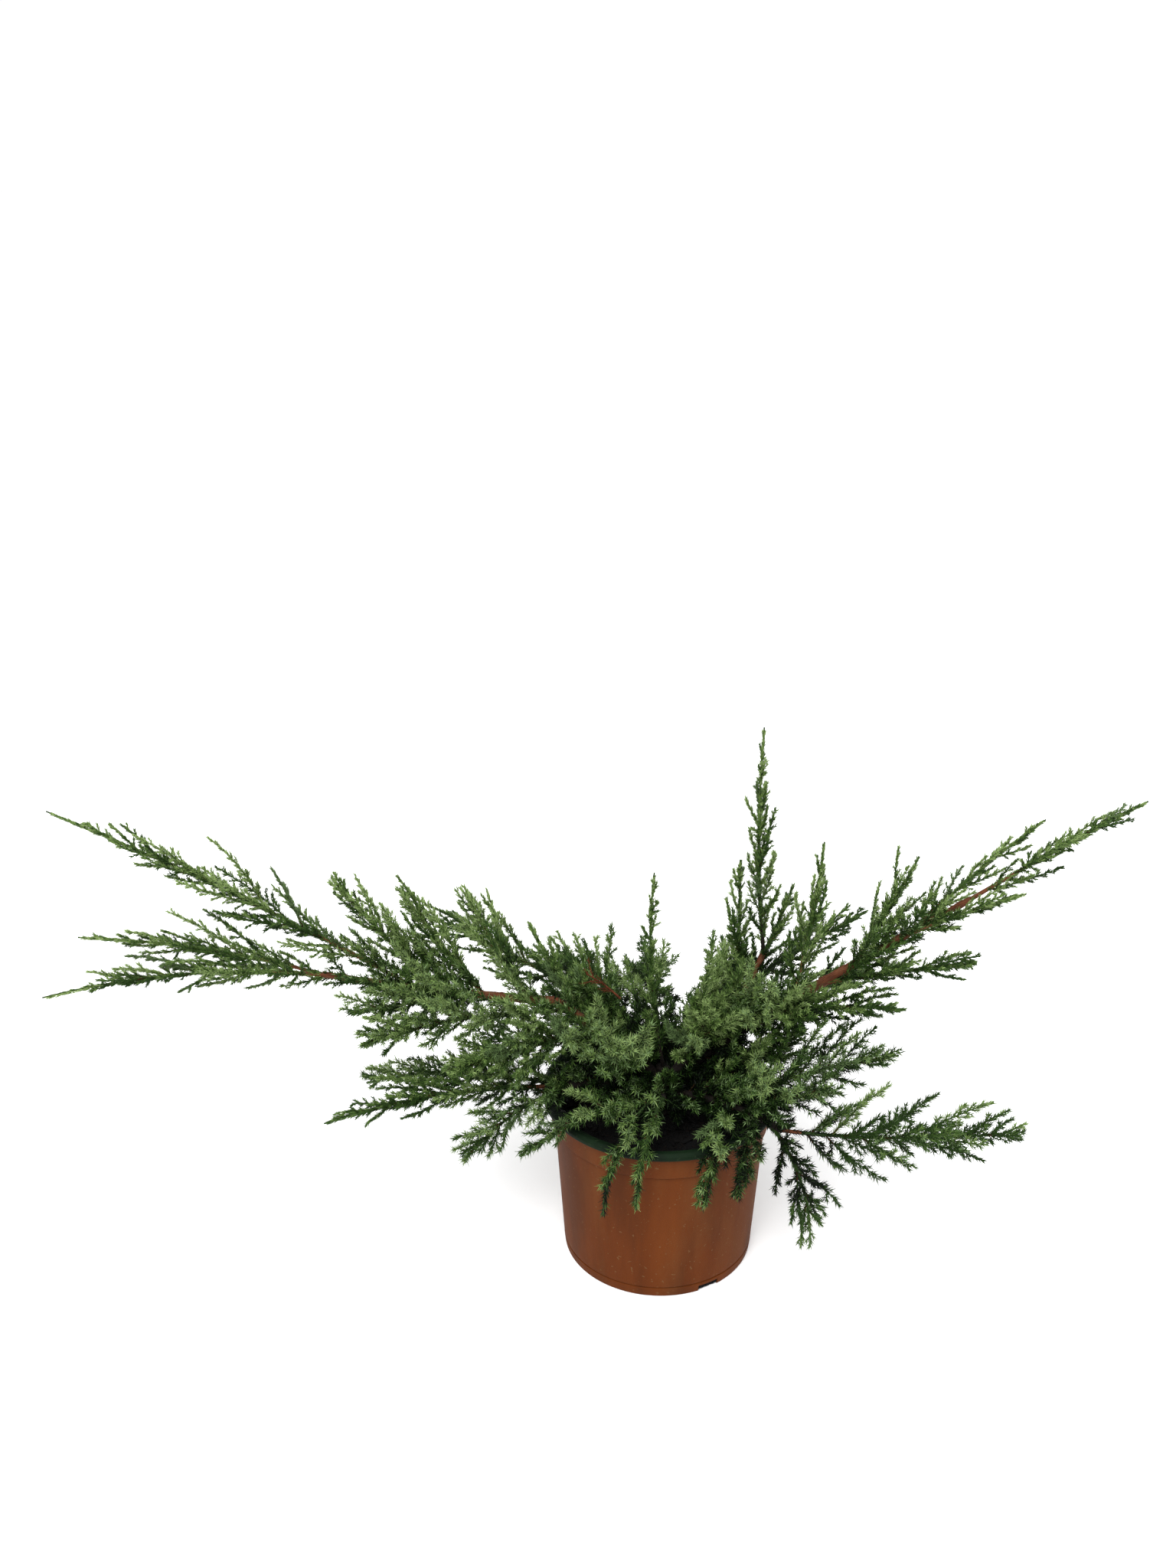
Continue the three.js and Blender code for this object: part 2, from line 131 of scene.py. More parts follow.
def swing(first: Array, second: Array, angle: Array) -> Array:
    """Turns from one direction towards another: cos a first + sin a second, an angle for each row."""
    return np.cos(angle)[..., None] * first + np.sin(angle)[..., None] * second


def from_axis(points: Array) -> Array:
    """Distance of points from the upright axis."""
    return np.hypot(points[..., 0], points[..., 1])


def round_angles(count: int) -> Array:
    """Angles that part a full turn evenly."""
    return np.arange(count) * TURN / count


# ---------------------------------------------------------------- skins and pieces


class Ends(Enum):
    """How the first and the last ring of a tube are finished."""

    CAPPED = "a fan of triangles closes each end"
    JOINED = "the last ring is sewn to the first"


@dataclass
class Skin:
    """A mesh before it is a piece: points, triangles, their finish numbers, and the corners on a map."""

    points: Array
    triangles: Whole
    finish: Whole
    chart: Array | None = None

    @classmethod
    def of_tubes(cls, rings: Array, ends: Ends = Ends.CAPPED, finish: Whole | None = None,
                 chart: Array | None = None) -> "Skin":
        """Skins joined tubes. Point (i, j) of a tube's grid meets (i, j+1), (i+1, j+1) and (i+1, j).

        Args:
            rings: points by (tube, ring, side, xyz), each ring anticlockwise about the way ahead.
            ends: how the tubes end.
            finish: finish number by (tube, span between rings), or none for finish 0.
            chart: place on the map by (tube, ring, side + 1, uv), or none.

        Returns:
            The closed skin, its faces pointing outwards.
        """
        tubes, steps, sides, _ = rings.shape
        index = np.arange(tubes * steps * sides).reshape(tubes, steps, sides)
        ahead = np.roll(index, -1, 1) if ends is Ends.JOINED else index[:, 1:]
        here = index if ends is Ends.JOINED else index[:, :-1]
        corners = (here, np.roll(here, -1, 2), np.roll(ahead, -1, 2), ahead)
        quads = np.stack(corners, -1)
        triangles = quads[..., HALVES].reshape(-1, 3)
        numbers = np.zeros(quads.shape[:2], int) if finish is None else finish
        labels = np.repeat(numbers.reshape(-1), sides * 2)
        points = rings.reshape(-1, 3)
        places = None
        if chart is not None:
            first, last = chart[:, :-1], chart[:, 1:]
            cell = np.stack([first[:, :, :-1], first[:, :, 1:], last[:, :, 1:], last[:, :, :-1]], 3)
            places = cell[:, :, :, HALVES].reshape(-1, 2)
        if ends is Ends.CAPPED:
            foot, head = index[:, 0], index[:, -1]
            centres = np.concatenate([rings[:, 0].mean(1), rings[:, -1].mean(1)])
            hub = np.repeat(len(points) + np.arange(2 * tubes).reshape(2, tubes, 1), sides, 2)
            lower = np.stack([hub[0], np.roll(foot, -1, 1), foot], -1).reshape(-1, 3)
            upper = np.stack([hub[1], head, np.roll(head, -1, 1)], -1).reshape(-1, 3)
            triangles = np.concatenate([triangles, lower, upper])
            caps = [np.repeat(numbers[:, end], sides) for end in (0, -1)]
            labels = np.concatenate([labels, *caps])
            points = np.concatenate([points, centres])
            if places is not None:
                places = np.concatenate([places, np.zeros((len(lower) * 6, 2))])
        return cls(points, triangles, labels, places)

    @classmethod
    def joined(cls, skins: list["Skin"]) -> "Skin":
        """Lays skins side by side.

        Args:
            skins: the skins, which have no map.

        Returns:
            One skin that holds them all.
        """
        starts = np.cumsum([0] + [len(skin.points) for skin in skins[:-1]])
        return cls(
            np.concatenate([skin.points for skin in skins]),
            np.concatenate([skin.triangles + start for skin, start in zip(skins, starts)]),
            np.concatenate([skin.finish for skin in skins]),
        )

    def piece(self, name: str, finishes: list[bpy.types.Material], smooth: bool = True) -> bpy.types.Object:
        """Makes the Blender object, at the origin, with its place in its mesh.

        Args:
            name: the piece's name.
            finishes: the materials that the finish numbers count.
            smooth: whether the shading runs over the edges.

        Returns:
            The object, linked into the scene.
        """
        mesh = bpy.data.meshes.new(name)
        count = len(self.triangles)
        mesh.vertices.add(len(self.points))
        mesh.vertices.foreach_set("co", (self.points * MM).astype(np.float32).ravel())
        mesh.loops.add(3 * count)
        mesh.loops.foreach_set("vertex_index", self.triangles.astype(np.int32).ravel())
        mesh.polygons.add(count)
        mesh.polygons.foreach_set("loop_start", np.arange(0, 3 * count, 3, dtype=np.int32))
        for finish in finishes:
            mesh.materials.append(finish)
        mesh.polygons.foreach_set("material_index", self.finish.astype(np.int32))
        mesh.polygons.foreach_set("use_smooth", np.full(count, smooth))
        if self.chart is not None:
            layer = mesh.uv_layers.new(name="girth_and_length")
            layer.data.foreach_set("uv", self.chart.astype(np.float32).ravel())
        mesh.update(calc_edges=True)
        mesh.validate()
        return linked(name, mesh)


def linked(name: str, data: bpy.types.ID) -> bpy.types.Object:
    """Makes an object of the scene.

    Args:
        name: of the object.
        data: its mesh, lamp or camera.

    Returns:
        The object.
    """
    made = bpy.data.objects.new(name, data)
    bpy.context.scene.collection.objects.link(made)
    return made


def enter(piece: bpy.types.Object, slot: str, *nodes: str) -> None:
    """Seats a finished piece in the frame and reports it.

    Args:
        piece: the piece.
        slot: the record's material slot; not used.
        nodes: the nodes of the frame that it stands for.
    """
    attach(piece, BODY)
    if nodes:
        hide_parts(*nodes)
    log.info("%s: %d triangles", piece.name, len(piece.data.polygons))


# ---------------------------------------------------------------- finishes


class Bench:
    """The node sheet of one material, with its shader and output in place."""

    def __init__(self, name: str) -> None:
        """Opens the sheet of a new material.

        Args:
            name: the material's name.
        """
        self.material = bpy.data.materials.new(name)
        self.material.use_nodes = True
        self.tree = self.material.node_tree
        self.shader = self.tree.nodes["Principled BSDF"]

    def node(self, kind: str, **inputs: object) -> bpy.types.Node:
        """Adds a node.

        Args:
            kind: Blender's name for the kind of node.
            inputs: values, or sockets to link from, by the name of the input with underscores for spaces.

        Returns:
            The node.
        """
        made = self.tree.nodes.new(kind)
        self.feed({made.inputs[name.replace("_", " ")]: value for name, value in inputs.items()})
        return made

    def feed(self, inputs: dict[Socket, object]) -> None:
        """Links inputs to the sockets that feed them, or sets their values.

        Args:
            inputs: what each input takes.
        """
        for socket, value in inputs.items():
            if isinstance(value, Socket):
                self.tree.links.new(value, socket)
            else:
                socket.default_value = value

    def noise(self, place: Socket, scale: float, detail: float, roughness: float) -> Socket:
        """Strength, from 0 to 1, of a cloudy pattern at a place."""
        cloud = self.node("ShaderNodeTexNoise", Vector=place, Scale=scale, Detail=detail, Roughness=roughness)
        return cloud.outputs["Fac"]

    def place(self, stretch: Point = (1.0, 1.0, 1.0), source: str = "Object") -> Socket:
        """The piece's own coordinates, with each axis multiplied by its stretch."""
        where = self.node("ShaderNodeTexCoord").outputs[source]
        return self.node("ShaderNodeMapping", Vector=where, Scale=stretch).outputs["Vector"]

    def ramp(self, share: Socket, stops: list[tuple[float, Colour]]) -> Socket:
        """Turns a share into a colour.

        Args:
            share: from 0 to 1.
            stops: shares with their colours, which run into each other.

        Returns:
            The colour.
        """
        made = self.node("ShaderNodeValToRGB", Fac=share)
        elements = made.color_ramp.elements
        while len(elements) < len(stops):
            elements.new(0.5)
        for element, (position, colour) in zip(elements, stops):
            element.position = position
            element.color = colour
        return made.outputs["Color"]

    def reach(self, share: Socket, span: Pair, low: float = 0.0, high: float = 1.0) -> Socket:
        """Carries a share from low..high onto a span."""
        ends = {"From_Min": low, "From_Max": high, "To_Min": span[0], "To_Max": span[1]}
        return self.node("ShaderNodeMapRange", Value=share, **ends).outputs["Result"]

    def blend(self, share: Socket, first: Socket | Colour, second: Socket | Colour) -> Socket:
        """Mixes two colours.

        Args:
            share: of the second colour.
            first: a colour.
            second: a colour.

        Returns:
            The mixed colour.
        """
        made = self.node("ShaderNodeMix")
        made.data_type = "RGBA"
        colours = [socket for socket in made.inputs if socket.type == "RGBA"]
        self.feed(dict(zip([made.inputs["Factor"], *colours], (share, first, second))))
        return next(socket for socket in made.outputs if socket.type == "RGBA")

    def bump(self, height: Socket, depth: float, strength: float) -> None:
        """Gives the shader a relief of a depth in millimetres."""
        relief = self.node("ShaderNodeBump", Height=height, Distance=depth * MM, Strength=strength)
        self.feed({self.shader.inputs["Normal"]: relief.outputs["Normal"]})

    def surface(self, **inputs: object) -> bpy.types.Material:
        """Feeds the shader's named inputs, underscores for spaces, and closes the sheet."""
        self.feed({self.shader.inputs[name.replace("_", " ")]: value for name, value in inputs.items()})
        return self.material


@dataclass(frozen=True)
class MouldedPlastic:
    """Thin moulded nursery plastic: upright streaks, partly pigment and partly painted shade of hanging
    sprays, dust that ran down in water marks, and pale specks.
    """

    name: str
    deep: Colour
    base: Colour
    pale: Colour
    dust: Colour
    dust_share: float = 0.3
    roughness: Pair = (0.6, 0.76)
    streaks: Point = (30.0, 30.0, 5.0)
    marks: Point = (9.0, 9.0, 3.0)
    grain: float = 900.0
    specks: float = 260.0
    relief: float = 0.25

    def material(self) -> bpy.types.Material:
        """Colour = upright streaks along the wall, pigment and painted shade, under dust; relief = the fine
        grain of the mould.

        Returns:
            The material.
        """
        bench = Bench(self.name)
        # Upright streaks: partly pigment, partly painted shade cast by hanging sprays.
        streaks = bench.noise(bench.place(self.streaks), 1.0, 4.0, 0.5)
        pigment = bench.ramp(streaks, [(0.34, self.deep), (0.52, self.base), (0.72, self.pale)])
        marks = bench.noise(bench.place(self.marks), 1.0, 8.0, 0.7)
        settled = bench.reach(marks, (0.0, self.dust_share), 0.5, 0.74)
        specks = bench.reach(bench.noise(bench.place(), self.specks, 1.0, 0.4), (0.0, 0.5), 0.7, 0.76)
        dusty = bench.blend(settled, pigment, self.dust)
        bench.bump(bench.noise(bench.place(), self.grain, 2.0, 0.5), self.relief, 0.5)
        return bench.surface(
            Base_Color=bench.blend(specks, dusty, self.dust),
            Roughness=bench.reach(marks, self.roughness, 0.3, 0.7),
            Specular_IOR_Level=0.1,
            Sheen_Weight=0.08,
            Sheen_Roughness=0.5,
            Sheen_Tint=self.dust,
        )


@dataclass(frozen=True)
class Bark:
    """Stringy red-brown juniper bark, its strips running with the limb."""

    name: str
    furrow: Colour
    strip: Colour
    fresh: Colour
    worn: Colour
    fibres: Point = (1100.0, 90.0, 1.0)
    patches: Point = (160.0, 45.0, 1.0)
    relief: float = 0.7

    def material(self) -> bpy.types.Material:
        """Colour and relief follow the map of girth and length, with long fibres and paler worn patches.

        Returns:
            The material.
        """
        bench = Bench(self.name)
        fibres = bench.noise(bench.place(self.fibres, "UV"), 1.0, 6.0, 0.65)
        patches = bench.noise(bench.place(self.patches, "UV"), 1.0, 4.0, 0.6)
        stops = [(0.28, self.furrow), (0.47, self.strip), (0.68, self.fresh)]
        shade = bench.reach(patches, (0.0, 0.55), 0.5, 0.72)
        bench.bump(fibres, self.relief, 0.9)
        return bench.surface(
            Base_Color=bench.blend(shade, bench.ramp(fibres, stops), self.worn),
            Roughness=bench.reach(fibres, (0.95, 0.72)),
            Specular_IOR_Level=0.25,
        )


@dataclass(frozen=True)
class Needle:
    """The waxy skin of one tone of needle, in one plain colour."""

    name: str
    colour: Colour
    roughness: float = 0.6
    gloss: float = 0.12

    def material(self) -> bpy.types.Material:
        """A plain shader: the tone has its place by the spray that it is dealt to."""
        look = {"Base_Color": self.colour, "Roughness": self.roughness, "Specular_IOR_Level": self.gloss}
        return Bench(self.name).surface(**look)


@dataclass(frozen=True)
class Crumb:
    """Rough dead matter: potting mix, bark chips or fallen needles."""

    name: str
    dark: Colour
    mid: Colour
    light: Colour
    grain: float
    depth: float

    def material(self) -> bpy.types.Material:
        """Colour and relief from one coarse and one fine cloud pattern.

        Returns:
            The material.
        """
        bench = Bench(self.name)
        plain = bench.place()
        coarse = bench.noise(plain, self.grain, 8.0, 0.7)
        fine = bench.noise(plain, self.grain * 5, 4.0, 0.6)
        colour = bench.ramp(coarse, [(0.35, self.dark), (0.52, self.mid), (0.72, self.light)])
        bench.bump(fine, self.depth, 1.0)
        return bench.surface(
            Base_Color=bench.blend(bench.reach(fine, (0.0, 0.7), 0.4, 0.8), colour, self.dark),
            Roughness=bench.reach(coarse, (1.0, 0.8)),
            Specular_IOR_Level=0.2,
        )


@dataclass(frozen=True)
class Paper:
    """The matt pale floor of the studio."""

    name: str = "pale_floor"
    colour: Colour = (0.97, 0.97, 0.97, 1.0)
    clouded: Colour = (0.9506, 0.9506, 0.9506, 1.0)

    def material(self) -> bpy.types.Material:
        """A nearly even matt white, very slightly clouded.

        Returns:
            The material.
        """
        bench = Bench(self.name)
        cloud = bench.noise(bench.place(), 0.7, 2.0, 0.5)
        colour = bench.ramp(cloud, [(0.3, self.clouded), (0.7, self.colour)])
        return bench.surface(Base_Color=colour, Roughness=0.95, Specular_IOR_Level=0.1)


class Numbered(Enum):
    """Named options that are counted in the order of their list."""

    @property
    def number(self) -> int:
        """The option's place in the list."""
        return list(type(self)).index(self)


class Tone(Numbered):
    """Lit and shaded copies of the needle green, painted light and shade from the sunlit outside of the plant
    to its shaded inside; GREY and BLOOM are the needles' own colours.
    """

    # Painted light and shade: the first six tones are one green, lit and shaded to different depths.
    SUNLIT = Needle("needles_sunlit", srgb(115, 135, 83))
    FRESH = Needle("needles_fresh", srgb(89, 110, 59))
    MID = Needle("needles_mid", srgb(62, 84, 40))
    DEEP = Needle("needles_deep", srgb(40, 60, 25))
    SHADE = Needle("needles_shade", srgb(21, 35, 11))
    DIM = Needle("needles_dim", srgb(8, 17, 5))
    GREY = Needle("needles_grey_green", srgb(80, 99, 62), roughness=0.65)
    BLOOM = Needle("needles_bloom", srgb(98, 119, 78), roughness=0.65, gloss=0.15)

    @staticmethod
    def stepped(tones: Whole, steps: Whole) -> Whole:
        """Plain tones made darker by whole steps, or paler where a step is negative; others stay."""
        last = Tone.DIM.number
        return np.where(tones <= last, np.clip(tones + steps, 0, last), tones)


TERRACOTTA = MouldedPlastic(
    "terracotta_plastic", srgb(69, 35, 9), srgb(80, 40, 10), srgb(87, 45, 14), srgb(95, 71, 47)
)
POT_GREEN = MouldedPlastic(
    "green_plastic", srgb(6, 17, 8), srgb(10, 25, 12), srgb(16, 33, 17), srgb(36, 46, 32), dust_share=0.25
)
# A darker copy of the green plastic: painted shade on the inside of the pot.
SHADED_POT_INSIDE = MouldedPlastic(
    "dark_inner_plastic", srgb(4, 7, 4), srgb(6, 11, 6), srgb(9, 15, 8), srgb(21, 22, 15), dust_share=0.2
)
BARK = Bark("bark", srgb(26, 14, 8), srgb(78, 43, 26), srgb(110, 66, 42), srgb(104, 80, 58))
# A darker copy of the bark: painted shade for the limbs and stems inside the crown.
SHADED_BARK = Bark("inner_bark", srgb(6, 4, 3), srgb(18, 11, 7), srgb(31, 20, 12), srgb(30, 24, 17))
YOUNG_BARK = Crumb("young_bark", srgb(40, 26, 13), srgb(56, 38, 19), srgb(58, 52, 27), 420.0, 0.2)
GREEN_TWIG = Crumb("green_twig", srgb(28, 40, 18), srgb(41, 59, 28), srgb(55, 73, 36), 380.0, 0.15)
# Mix, chips and fallen needles coloured near black: painted shade inside the pot.
SHADED_MIX = Crumb("potting_mix", srgb(2, 2, 1), srgb(5, 4, 3), srgb(11, 8, 5), 160.0, 1.6)
SHADED_CHIP = Crumb("bark_chips", srgb(4, 3, 2), srgb(10, 7, 4), srgb(22, 15, 9), 240.0, 0.5)
SHADED_LITTER = Crumb("fallen_needles", srgb(14, 9, 5), srgb(26, 16, 9), srgb(44, 29, 18), 300.0, 0.2)
DEAD = Crumb("dead_needles", srgb(50, 24, 12), srgb(83, 43, 24), srgb(106, 66, 40), 300.0, 0.2)


# ---------------------------------------------------------------- the pot and what is in it


class Profile:
    """An outline in a half plane, points by (radius, height), with its corners eased."""

    @staticmethod
    def eased(corners: Array, ease: float, steps: int = 4, loop: bool = False) -> Array:
        """Rounds every corner with a quadratic Bezier arc between two points up to `ease` away from it.

        Args:
            corners: the outline's corners.
            ease: distance from a corner at which its arc starts, at most 0.4 of the shorter side.
            steps: spans of an arc.
            loop: whether the outline closes on itself.

        Returns:
            The eased outline.
        """
        back, on = np.roll(corners, 1, 0) - corners, np.roll(corners, -1, 0) - corners
        near = np.minimum(np.linalg.norm(back, axis=1), np.linalg.norm(on, axis=1))
        cut = np.minimum(ease, 0.4 * near)[:, None]
        start, end = corners + unit(back) * cut, corners + unit(on) * cut
        t = np.linspace(0, 1, steps + 1)[None, :, None]
        arcs = (1 - t) ** 2 * start[:, None] + 2 * t * (1 - t) * corners[:, None] + t**2 * end[:, None]
        if loop:
            return arcs.reshape(-1, 2)
        return np.concatenate([corners[:1], arcs[1:-1].reshape(-1, 2), corners[-1:]])

    @staticmethod
    def stepped(outline: Array, longest: float) -> Array:
        """Divides every side into equal spans.

        Args:
            outline: the outline's points.
            longest: the most that a span may measure.

        Returns:
            The outline with the new points on its sides.
        """
        side = np.diff(outline, axis=0)
        count = np.maximum(1, np.ceil(np.linalg.norm(side, axis=1) / longest)).astype(int)
        owner, number = spread(count)
        inner = outline[owner] + side[owner] * (number / count[owner])[:, None]
        return np.concatenate([inner, outline[-1:]])


@dataclass
class NurseryPot:
    """The tapering terracotta wall with its drain notches, and the green lip rolled over its top."""

    height: float = 210.0
    base_radius: float = 109.0
    waist_radius: float = 120.0
    collar_radius: float = 123.5
    shoulder_radius: float = 126.5
    collar_line: float = 171.0
    wall_top: float = 206.7
    wall: float = 2.6
    floor: float = 4.0
    foot_line: float = 13.0
    line_step: float = 1.5
    lip_radius: float = 133.8
    lip_skirt: float = 8.0
    lip_sheet: float = 2.6
    lip_tuck: float = 11.0
    notch_count: int = 2
    notch_first: float = 120.0
    notch_width: float = 26.0
    notch_depth: float = 11.0
    notch_height: float = 8.0
    clearance: float = 0.3
    columns: int = 240
    column_gap: float = 0.001
    warp: float = 0.35
    steady: float = 60.0
    crease: float = 38.0

    @property
    def mouth(self) -> float:
        """Inner radius of the lip's tuck, the narrowest of the mouth."""
        return self.wall_radius(self.wall_top - self.lip_tuck) - self.wall - self.clearance - self.lip_sheet

    def wall_radius(self, height: Array | float) -> Array | float:
        """Outer radius of the wall: one taper up to the collar line, a second above it.

        Args:
            height: above the floor.

        Returns:
            The radius there.
        """
        rise = (height - self.collar_line) / (self.wall_top - self.collar_line)
        below = lerp(self.base_radius, self.waist_radius, height / self.collar_line)
        return np.where(rise > 0, lerp(self.collar_radius, self.shoulder_radius, rise), below)

    def turned(self, outline: Array, angles: Array) -> Array:
        """Rings of an outline carried round the upright axis, very slightly out of round.

        Args:
            outline: points by (radius, height).
            angles: of the columns.

        Returns:
            Points by (1, ring, column, xyz). Radius = outline + warp x height x (cos 2a + cos 3a / 2), the
            warp fading out towards the axis.
        """
        radius, height = outline[:, :1], outline[:, 1:]
        sway = np.cos(2 * angles + 0.7) + 0.5 * np.cos(3 * angles + 2.1)
        wide = radius + self.warp * (height / self.height) * sway * ranged(radius, 0, self.steady)
        rings = np.stack([wide * np.cos(angles), wide * np.sin(angles), height + 0 * angles], -1)
        return rings[None]

    def shell(self) -> Skin:
        """The wall and floor. Near a notch the foot's outline is lifted: z = max(z, notch height).

        Returns:
            The skin, its second finish, a darker plastic of painted shade, from the wall's top inwards.
        """
        line, below, above = self.foot_line, self.collar_line - 1, self.collar_line + 1
        radii = self.wall_radius(np.array([line, below, above, self.wall_top, self.floor, self.floor + 6]))
        foot, waist, collar, top, floor_edge, floor_rise = radii
        base, step, thick = self.base_radius, self.line_step, self.wall
        corners = np.array([
            [HUB, 1.2],
            [base - 26, 1.2],
            [base - 23, 0],
            [base - 1.6, 0],
            [base - 0.3, 1.4],
            [foot, line - 1.2],
            [foot - step, line - 0.8],
            [foot - step, line + 0.2],
            [foot, line + 0.6],
            [waist, below - 0.2],
            [waist - step, below + 0.1],
            [waist - step, below + 0.9],
            [waist, below + 1.2],
            [collar, above + 0.4],
            [top, self.wall_top],
            [top - thick, self.wall_top],
            [collar - thick, above + 1],
            [waist - thick, below + 1],
            [floor_rise - thick, self.floor + 6],
            [floor_edge - thick - 5, self.floor],
            [HUB, self.floor],
        ])
        outline = Profile.stepped(Profile.eased(corners, 0.8), 6.0)
        angles = self.notched_angles()
        rings = self.turned(outline, angles)
        outer = outline[:, :1] > self.base_radius - self.notch_depth
        low = outer & self.in_notch(angles) & (rings[0, ..., 2] < self.notch_height)
        rings[0, ..., 2][low] = self.notch_height
        inner = np.arange(len(outline) - 1) >= np.argmax(outline[:, 1] >= self.wall_top - 0.1)
        return Skin.of_tubes(rings, finish=inner.astype(int)[None])

    def in_notch(self, angles: Array) -> NDArray[np.bool_]:
        """Tells which columns a drain notch cuts.

        Args:
            angles: of the columns.

        Returns:
            True where the angle is nearer to a notch's middle than half its width.
        """
        pitch = TURN / self.notch_count
        away = (angles - math.radians(self.notch_first) + pitch / 2) % pitch - pitch / 2
        return np.abs(away) < self.notch_width / 2 / self.base_radius

    def notched_angles(self) -> Array:
        """Angles of the columns, with a pair of columns close together at each side of a notch.

        Returns:
            The angles in rising order.
        """
        half = self.notch_width / 2 / self.base_radius
        centres = math.radians(self.notch_first) + round_angles(self.notch_count)
        edges = (centres[:, None] + np.array([-1, 1]) * half).ravel()
        pairs = (edges[:, None] + np.array([-1, 1]) * self.column_gap).ravel() % TURN
        return np.unique(np.concatenate([round_angles(self.columns), pairs]))

    def lip(self) -> Skin:
        """The lip: a closed outline that hooks over the wall's top and ends in a short skirt.

        Returns:
            The skin, joined to itself all along.
        """
        tuck_foot, skirt_foot = self.wall_top - self.lip_tuck, self.height - self.lip_skirt
        rest = self.wall_top + self.clearance
        wall = self.wall_radius(np.array([tuck_foot, self.wall_top]))
        tuck, over = wall - self.wall - self.clearance
        out, top, sheet = self.lip_radius, self.height, self.lip_sheet
        corners = np.array([
            [tuck, tuck_foot],
            [over, rest],
            [out - sheet, rest],
            [out - sheet, skirt_foot],
            [out - 0.4, skirt_foot],
            [out, skirt_foot + 1.6],
            [out, top - 3.4],
            [out - 3.6, top],
            [over + 3.4, top],
            [over + 2.4, top - 0.7],
            [over + 0.4, top - 0.7],
            [over - sheet, top - 3.4],
            [tuck - sheet, tuck_foot],
        ])
        outline = Profile.eased(corners, 1.3, loop=True)
        return Skin.of_tubes(self.turned(outline, round_angles(self.columns)), Ends.JOINED)

    def clear(self, points: Array, bed: "MixBed", margin: float) -> NDArray[np.bool_]:
        """Whether points keep out of the lip, the wall and the mix.

        Args:
            points: the points to test.
            bed: the mix in the pot.
            margin: what they have to keep clear by.

        Returns:
            True for each point that is clear.
        """
        out, up = from_axis(points), points[..., 2]
        lip_foot = self.wall_top - self.lip_tuck
        in_lip = (out > self.mouth - margin) & (out < self.lip_radius + margin)
        in_lip &= (up > lip_foot - margin) & (up < self.height + margin)
        wall = self.wall_radius(up)
        in_wall = (out < wall + margin) & (out > wall - self.wall - margin) & (up < self.wall_top)
        in_mix = (out <= wall) & (up < bed.level(out) + margin)
        return ~(in_lip | in_wall | in_mix)

    def build(self) -> None:
        """Makes, dresses and enters the wall, its shading broken at its creases, and the lip."""
        wall = self.shell().piece("pot_shell", [TERRACOTTA.material(), SHADED_POT_INSIDE.material()])
        wall.data.set_sharp_from_angle(angle=math.radians(self.crease))
        enter(wall, "terracotta_plastic", "pot_wall")
        enter(self.lip().piece("pot_rim", [POT_GREEN.material()]), "green_plastic", "pot_lip")


